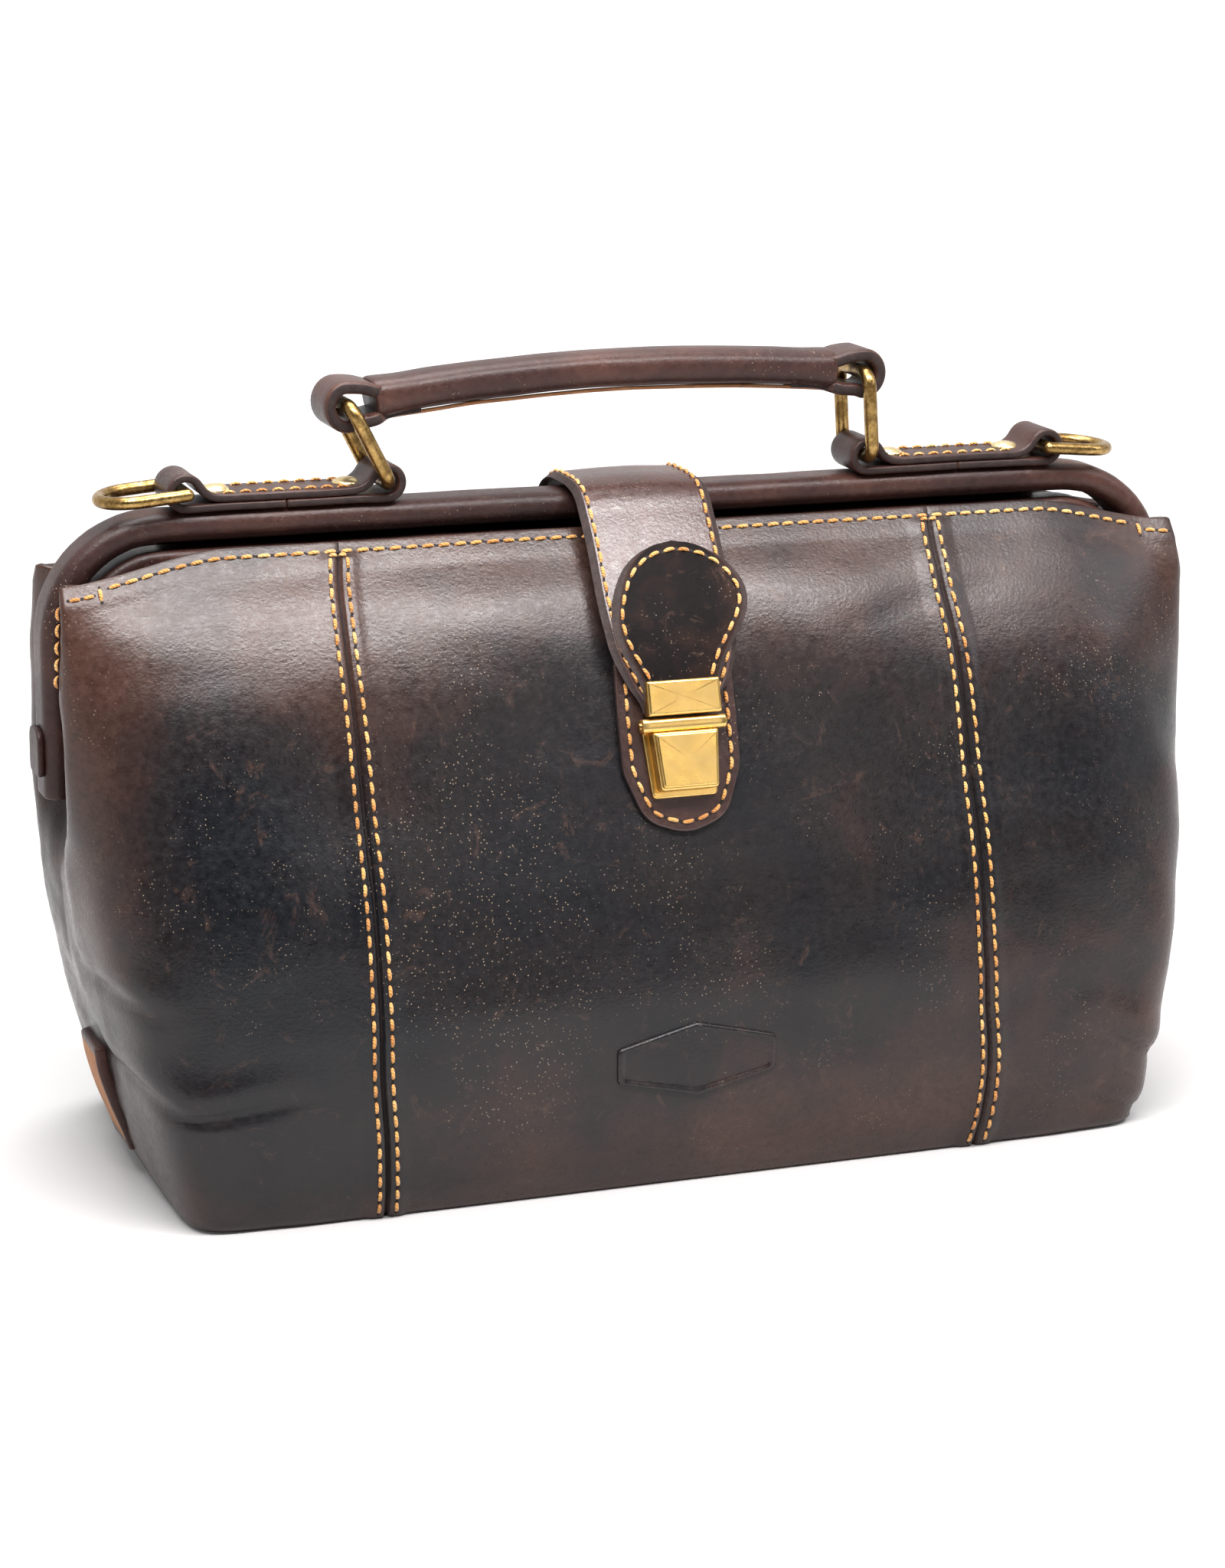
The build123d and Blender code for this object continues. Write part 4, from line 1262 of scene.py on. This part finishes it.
frame_bar("back", half_width=190.5, thickness=9.2, depth=17.4, top=212.2, radius=38,
          edge_radius=4.2, seed=60)
frame_bar("front", half_width=179.5, thickness=6.0, depth=13.2, top=200.6, radius=27.5,
          edge_radius=2.6, seed=70)
hem_flange("front", [(-5.5, 199.0), (-9.0, 198.0), (-12.4, 194.5), (-14.2, 189.0)])
hem_flange("back", [(7.0, 205.0), (10.0, 202.5), (12.4, 197.5), (14.2, 190.0)])
hinge_patch("left", -1)
hinge_patch("right", 1)


# ------------------------------------------------------------------- handle tabs
TAB_X = -113.0          # middle of the left tab
TAB_TOP_Z, TAB_LOW_Z = 216.3, 213.6
TAB_WIDTH, TAB_THICK = 18.0, 2.5


def tab_path():
    """(x, z) line of the left tab, from the joint underneath round both rings and back."""
    radius, ring_x, ring_z = 4.75, -81.0, 218.3
    half = [(x, TAB_LOW_Z) for x in (-106, -98, -90)]
    for a in np.radians(np.linspace(-90, 140, 14)):
        half.append((ring_x + radius * math.cos(a), ring_z + radius * math.sin(a)))
    half += [(ring_x - 5.6, 218.7), (ring_x - 8.2, 216.9), (ring_x - 12, TAB_TOP_Z),
             (-100, TAB_TOP_Z)]
    mirrored = [(2 * TAB_X - x, z) for x, z in reversed(half)]
    joint_gap = 0.6
    points = ([(TAB_X, TAB_LOW_Z)] + half + [(TAB_X, TAB_TOP_Z)] + mirrored
              + [(TAB_X - joint_gap, TAB_LOW_Z)])
    return resample(catmull(points, 4), 210)


def tab_surface(path, station, y, mirror):
    """Outer face of a tab at a path station and y."""
    x, z = interp_rows(station, np.arange(len(path)), path).T
    nx, nz = interp_rows(station, np.arange(len(path)), -yz_normals(path)).T
    lift = 1.3
    points = np.stack([x + nx * lift, y, z + nz * lift], -1)
    normals = unit(np.stack([nx, np.zeros_like(nx), nz], -1))
    return points * (mirror, 1, 1), normals * (mirror, 1, 1)


def build_tab(label, mirror):
    flat_path = tab_path()
    x, z = flat_path.T
    path = np.column_stack([x * mirror, np.zeros(len(x)), z])
    section = split_edges(rounded_rect(TAB_WIDTH, TAB_THICK, 0.9, 3), 3.0)
    # slightly narrower at the middle of the tab
    widths = TAB_WIDTH - 0.8 * np.exp(-((x - TAB_X) / 12) ** 2)
    ob = sweep("handle_tab_piece_" + label, path, ALONG_Y,
               [section * (width / TAB_WIDTH, 1.0) for width in widths],
               [M_TRIM, M_EDGE], wobble=(80 + mirror, 0.16))
    paint_y_faces(ob)
    attach(ob, "frame_back", "leather_dark", "handle_tab_" + label)

    # stitches round the flat top
    flat = np.flatnonzero((z > 215.9) & (z < 216.8) & (x > -132) & (x < -94))
    first, last = flat[0], flat[-1]
    parts = []
    for y, seed in ((-6.4, 53), (6.4, 66)):
        line = tab_surface(flat_path, np.linspace(first - 3, last + 3, 120),
                           np.full(120, y), mirror)
        parts += stitch_row(*line, seed=seed, radius=0.5)
    for share in (0.02, 0.98):
        line = tab_surface(flat_path, np.full(30, first + (last - first) * share),
                           np.linspace(-6, 6, 30), mirror)
        parts += stitch_row(*line, seed=63, radius=0.5, pitch=4.4)
    attach(stitching("handle_tab_stitching_" + label, parts), "frame_back", "thread")


def build_rivets():
    around, foot_z = 28, 217.35
    # radius, height
    profile = [(4.4, 0.0), (4.6, 0.25), (4.5, 0.6), (4.1, 1.0), (3.4, 1.45), (2.4, 1.85),
               (1.2, 2.05), (0.15, 2.1)]
    angles = [2 * math.pi * j / around for j in range(around)]
    parts = []
    for x in (-134, -92, 92, 134):
        verts = [(x + r * math.cos(a), r * math.sin(a), foot_z + height)
                 for r, height in profile for a in angles]
        parts.append((np.array(verts), tube_faces(around, len(profile)), 0))
    ob = join_parts("tab_rivet_heads", parts, [M_RIVET])
    fix_normals(ob)
    attach(ob, "frame_back", "bright_brass", "tab_rivets")


build_tab("left", 1)
build_tab("right", -1)
build_rivets()


# ------------------------------------------------------------------------ handle
HANDLE_LEFT = np.array([-93.485, 0, 242.803])       # left ring centre
HANDLE_LENGTH, HANDLE_ANGLE, HANDLE_RISE = 172.591, math.radians(0.973), 5.0
HANDLE_X = np.array([math.cos(HANDLE_ANGLE), 0, math.sin(HANDLE_ANGLE)])
HANDLE_Z = np.array([-math.sin(HANDLE_ANGLE), 0, math.cos(HANDLE_ANGLE)])
WRAP_START, WRAP_END = 10.2, HANDLE_LENGTH - 10.2
WRAP_LIFT = 0.5         # middle of the wrap above the arch


def arch(x):
    half = HANDLE_LENGTH / 2
    return HANDLE_RISE * (1 - ((x - half) / (half - 6)) ** 2)


def handle_point(x, y, z):
    return HANDLE_LEFT + HANDLE_X * x + HANDLE_Z * z + np.array([0, y, 0])


def build_handle_core():
    """Strip along the handle, turned down round each ring and back under itself."""
    radius, width = 5.6, 18.5
    left = [(24, -2.0), (15, -3.0), (8.6, -4.9)]
    for a in np.radians(np.linspace(-60, -278, 13)):
        left.append((0.97 * radius * math.cos(a) - 0.2, 1.08 * radius * math.sin(a) - 0.4))
    left += [(4.8, 5.2), (11, arch(11) + 3.0), (22, arch(22) + 1.5)]
    middle = [(x, arch(x) + 1.2) for x in np.linspace(30, HANDLE_LENGTH - 30, 14)]
    right = [(HANDLE_LENGTH - x, z) for x, z in reversed(left)]
    line = resample(catmull(left + middle + right, 5), 230)
    section = split_edges(rounded_rect(width, 3.9, 1.4, 3), 3.2)
    from_end = np.minimum(line[:, 0], HANDLE_LENGTH - line[:, 0])
    # wide round the rings, narrow inside the wrap
    widths = 12.0 + 6.0 * smooth((11.0 - from_end) / 4.0 + 0.6)
    ob = sweep("handle_core_strip", np.array([handle_point(x, 0, z) for x, z in line]),
               ALONG_Y, [section * (w / width, 1.0) for w in widths],
               [M_TRIM, M_EDGE], wobble=(91, 0.18))
    paint_y_faces(ob)
    attach(ob, "handle", "leather_dark", "handle_core")


def wrap_section(x):
    """Squarish oval, fuller at both ends, with a ridge below on its back half."""
    around, power = 44, 2.7
    t = (x - WRAP_START) / (WRAP_END - WRAP_START)
    swell = math.exp(-(t / 0.05) ** 2) + math.exp(-((t - 1.0) / 0.05) ** 2)
    thickness, depth = 11.6 + 1.3 * swell, 17.2 + 0.8 * swell
    a = 2 * math.pi * np.arange(around) / around

    def oval(wave, size):
        return np.copysign(np.abs(wave) ** (2 / power), wave) * size / 2

    ridge = 1.1 * np.exp(-((np.degrees(a) - 300) / 9.0) ** 2)
    return np.column_stack([oval(np.cos(a), depth), oval(np.sin(a), thickness) - ridge])


def build_handle_wrap():
    """Leather tube round the core, with a thin pale strip under its front half."""
    stations = np.linspace(WRAP_START, WRAP_END, 90)
    path = np.array([handle_point(x, 0, arch(x) + WRAP_LIFT) for x in stations])
    ob = sweep("handle_wrap_piece", path, ALONG_Y, [wrap_section(x) for x in stations],
               [M_TRIM, M_EDGE], round_ends=1.0, wobble=(95, 0.22))
    attach(ob, "handle", "leather_dark", "handle_wrap")
    path = np.array([handle_point(x, -3.6, arch(x) + WRAP_LIFT - 6.35)
                     for x in np.linspace(WRAP_START + 1.5, WRAP_END - 1.5, 80)])
    ob = sweep("handle_seam_edge", path, ALONG_Y, rounded_rect(1.5, 1.2, 0.45, 3), [M_TAN],
               round_ends=0.4, wobble=(97, 0.15))
    attach(ob, "handle", "tan_leather")


def build_end_tab(label, side):
    """Thick leather tab on an end of the bag, its outer face pale inside the rim."""
    # distance from the middle of the bag, z
    line = [(166.3, 11.0), (168.0, 16.0), (172.4, 28.0), (175.3, 38.0), (176.2, 44.0)]
    line = resample(catmull(line, 6), 24)
    path = np.column_stack([line[:, 0] * side, np.zeros(len(line)), line[:, 1]])
    section = split_edges(rounded_rect(23, 4.2, 1.2, 4), 3.0)
    ob = sweep("end_tab_" + label, path, ALONG_Y, section, [M_TRIM, M_TAN, M_EDGE],
               round_ends=1.0, wobble=(110 + side, 0.3))
    for face in ob.data.polygons:
        centre = face.center / MM
        if face.normal.x * side > 0.8 and abs(centre.y) < 9.6 and 13 < centre.z < 42:
            face.material_index = 1
    attach(ob, "bag", "leather", "gusset_tab_" + label)


build_handle_core()
build_handle_wrap()
build_end_tab("left", -1)
build_end_tab("right", 1)


# ------------------------------------------------------------------------- badge
def build_badge():
    """Plain raised hexagon, low on the front."""
    x, z, width, height = -1.5, 43.5, 53.0, 24.0
    half_w, half_h, shoulder = width / 2, height / 2, height * 0.23
    hexagon = [(-half_w, -shoulder), (0, -half_h), (half_w, -shoulder),
               (half_w, shoulder), (0, half_h), (-half_w, shoulder)]
    outline = resample_closed(rounded_outline(hexagon, 1.5, arc_steps=4), 96)
    # inset, height above the panel
    profile = [(0.0, -0.6), (0.0, 0.3), (0.35, 0.95), (1.1, 1.15), (1.7, 1.1), (2.2, 0.55),
               (3.0, 0.5), (3.6, 0.5)]
    rings = [(outline * (1 - inset / half_w, 1 - inset / half_h), lift)
             for inset, lift in profile]
    inner = rings[-1][0]
    rings += [(inner * k, 0.5 + 0.2 * (1 - k)) for k in (0.75, 0.5, 0.25, 0.03)]
    verts = []
    for ring, lift in rings:
        points, normals = SHELLS[FRONT].at_x(ring[:, 0] + x, ring[:, 1] + z)
        verts.append(points + normals * lift)
    # open behind, closed on the face
    faces = tube_faces(len(outline), len(rings))
    del faces[-2]
    ob = new_mesh("pressed_badge", np.vstack(verts), faces, [M_BODY])
    fix_normals(ob)
    attach(ob, "bag", "leather")


build_badge()


# ------------------------------------------------------------------------ lining
def build_lining(side, label):
    """Cloth hanging in loose folds just inside one half."""
    columns = COLUMNS[::2].copy()
    columns[:, 3] = FAR
    rows = np.concatenate([[2.0], np.arange(6, 192, 5.0), [195.0]])
    points, normals = shell_grid(SHELLS[side], columns, rows)
    folds = fbm(points.reshape(-1, 3) / np.array([16.0, 16.0, 46.0]), 3, 71)
    folds = folds.reshape(points.shape[:2])
    looseness = smooth((np.abs(points[..., 1]) - 1.5) / 8.0) * smooth((197 - rows) / 18.0)[:, None]
    points = points - normals * (2.9 + (1.1 + 1.3 * folds) * looseness)[..., None]
    points[..., 2] = np.maximum(points[..., 2], 6.6)
    ob = new_mesh("lining_" + label, points.reshape(-1, 3),
                  grid_faces(len(columns), len(rows)), [M_LINING])
    follow_frame(ob)
    if side == FRONT:
        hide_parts("lining")


def build_lining_floor():
    """Cloth over the base board."""
    rim = FOOT_RING * (0.975, 0.955, 0) + (0, 0, 7.4)
    rings = []
    for k, lift in ((1.0, 0.6), (0.9, 0.0), (0.7, 0.0), (0.4, 0.15), (0.02, 0.1)):
        ring = rim * (k, k, 1) + (0, 0, lift)
        ring[:, 2] += 0.3 * fbm(ring / 22.0, 2, 77)
        rings.append(ring)
    ob = new_mesh("lining_floor", np.vstack(rings),
                  grid_faces(len(rim), len(rings), closed=True), [M_LINING])
    fix_normals(ob)
    attach(ob, "bag", "lining")


for side, label, _ in HALVES:
    build_lining(side, label)
build_lining_floor()


# ---------------------------------------------------- finishes of the CAD pieces
CAD_FINISHES = {
    "frame_steel_back": M_STEEL, "frame_steel_front": M_STEEL, "lock_spring": M_STEEL,
    "hinge_pin_left": M_ANTIQUE, "hinge_pin_right": M_ANTIQUE,
    "handle_ring_left": M_ANTIQUE, "handle_ring_right": M_ANTIQUE,
    "d_ring_left": M_ANTIQUE, "d_ring_right": M_ANTIQUE,
    "strap_rivets": M_RIVET, "base_board": M_BOARD}
for name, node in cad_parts.items():
    if node.hide_render:
        continue
    finish = CAD_FINISHES[name]
    if not node.data.materials:
        node.data.materials.append(finish)
    for slot in node.material_slots:
        slot.material = finish

# nothing hangs below the ground
for name in ("body_front", "body_back", "base_leather", "body_stitching_front",
             "body_stitching_back"):
    for vertex in bpy.data.objects[name].data.vertices:
        if vertex.co.z < 0.0:
            vertex.co.z = 0.0


# -------------------------------------------------------------- camera and stage
def build_camera():
    turn, pitch, roll = (math.radians(a) for a in (20.028, 14.903, 0.528))
    position = -0.40781, -1.11056, 0.42788
    forward = Vector((math.sin(turn) * math.cos(pitch), math.cos(turn) * math.cos(pitch),
                      -math.sin(pitch)))
    level = Vector((math.cos(turn), -math.sin(turn), 0))
    upright = level.cross(forward)
    right = level * math.cos(roll) + upright * math.sin(roll)
    up = -level * math.sin(roll) + upright * math.cos(roll)
    camera = bpy.data.cameras.new("cam")
    camera.lens = 86.21
    camera.clip_start, camera.clip_end = 0.05, 50
    ob = bpy.data.objects.new("cam", camera)
    bpy.context.scene.collection.objects.link(ob)
    rows = [(right[i], up[i], -forward[i], position[i]) for i in range(3)]
    ob.matrix_world = Matrix((*rows, (0, 0, 0, 1)))
    bpy.context.scene.camera = ob


def build_floor():
    """Grey floor that glows brighter away from the bag."""
    mat, g, shader = new_material("studio_floor")
    coords = g.coords()
    tone = g.noise(coords, scale=3.0, detail=2, rough=0.5)
    color = g.ramp(tone, [(0.3, (0.50, 0.50, 0.50, 1)), (0.7, (0.52, 0.52, 0.52, 1))])
    glow = g.remap(g.length(coords), span=(0.35, 1.6), to=(0.04, 0.75))
    g.feed(shader, {"Base Color": color, "Emission Strength": glow, "Roughness": 0.9,
                    "Specular IOR Level": 0.1, "Emission Color": (1, 1, 1, 1)})
    bpy.ops.mesh.primitive_plane_add(size=24, location=(0, 0, 0))
    floor = bpy.context.object
    floor.name = "floor"
    floor.data.materials.append(mat)


def build_world():
    """White room overhead, behind the bag and dimly at the sides; dark behind the camera."""
    world = bpy.data.worlds.new("studio")
    bpy.context.scene.world = world
    world.use_nodes = True
    g = Graph(world.node_tree)
    generated = g.new("TexCoord").outputs["Generated"]
    axes = g.new("SeparateXYZ", {0: generated}).outputs
    overhead = g.remap(axes[2], span=(0.55, 0.86))
    behind = g.remap(axes[1], span=(-0.25, 0.35))
    left = g.remap(axes[0], span=(-0.80, -0.97), to=(0.0, 0.7))
    right = g.remap(axes[0], span=(0.70, 0.97), to=(0.0, 0.55))
    light = g.math("MAXIMUM", g.math("MAXIMUM", overhead, behind),
                   g.math("MAXIMUM", left, right))
    light = g.add(g.mul(light, 0.95), 0.035)
    color = g.grey(light)
    # the camera itself sees plain white
    to_camera = g.new("LightPath").outputs["Is Camera Ray"]
    color = g.mix(to_camera, color, (1.0, 1.0, 1.0, 1.0))
    g.feed(world.node_tree.nodes["Background"], {0: color, 1: 1.0})


def area_light(name, location, target, size, energy, color):
    """Rectangular light of size (width, height) in metres, aimed at target."""
    light = bpy.data.lights.new(name, "AREA")
    light.shape = "RECTANGLE"
    light.size, light.size_y = size
    light.energy = energy
    light.color = color
    ob = bpy.data.objects.new(name, light)
    bpy.context.scene.collection.objects.link(ob)
    ob.location = location
    aim = Vector(target) - Vector(location)
    ob.rotation_euler = aim.to_track_quat("-Z", "Y").to_euler()


build_camera()
build_floor()
build_world()
area_light("key", location=(-0.04, -0.56, 1.12), target=(-0.02, 0, 0.16), size=(1.35, 0.22),
           energy=30.0, color=(1.0, 0.965, 0.96))
area_light("top", location=(-0.1, 0.18, 1.2), target=(0, 0, 0.18), size=(0.9, 0.4),
           energy=13.0, color=(1.0, 0.98, 0.97))
area_light("fill", location=(1.2, -0.5, 0.9), target=(0, 0, 0.1), size=(0.6, 0.6),
           energy=4.0, color=(0.92, 0.95, 1.0))
area_light("card", location=(0.42, -1.17, 0.56), target=(0, -0.06, 0.14), size=(0.20, 0.20),
           energy=0.55, color=(1.0, 0.97, 0.92))
view = bpy.context.scene.view_settings
view.view_transform = "Standard"
view.look = "None"
view.exposure = 0.0

pass    # the build ends here; the full build adds nothing to the quick one
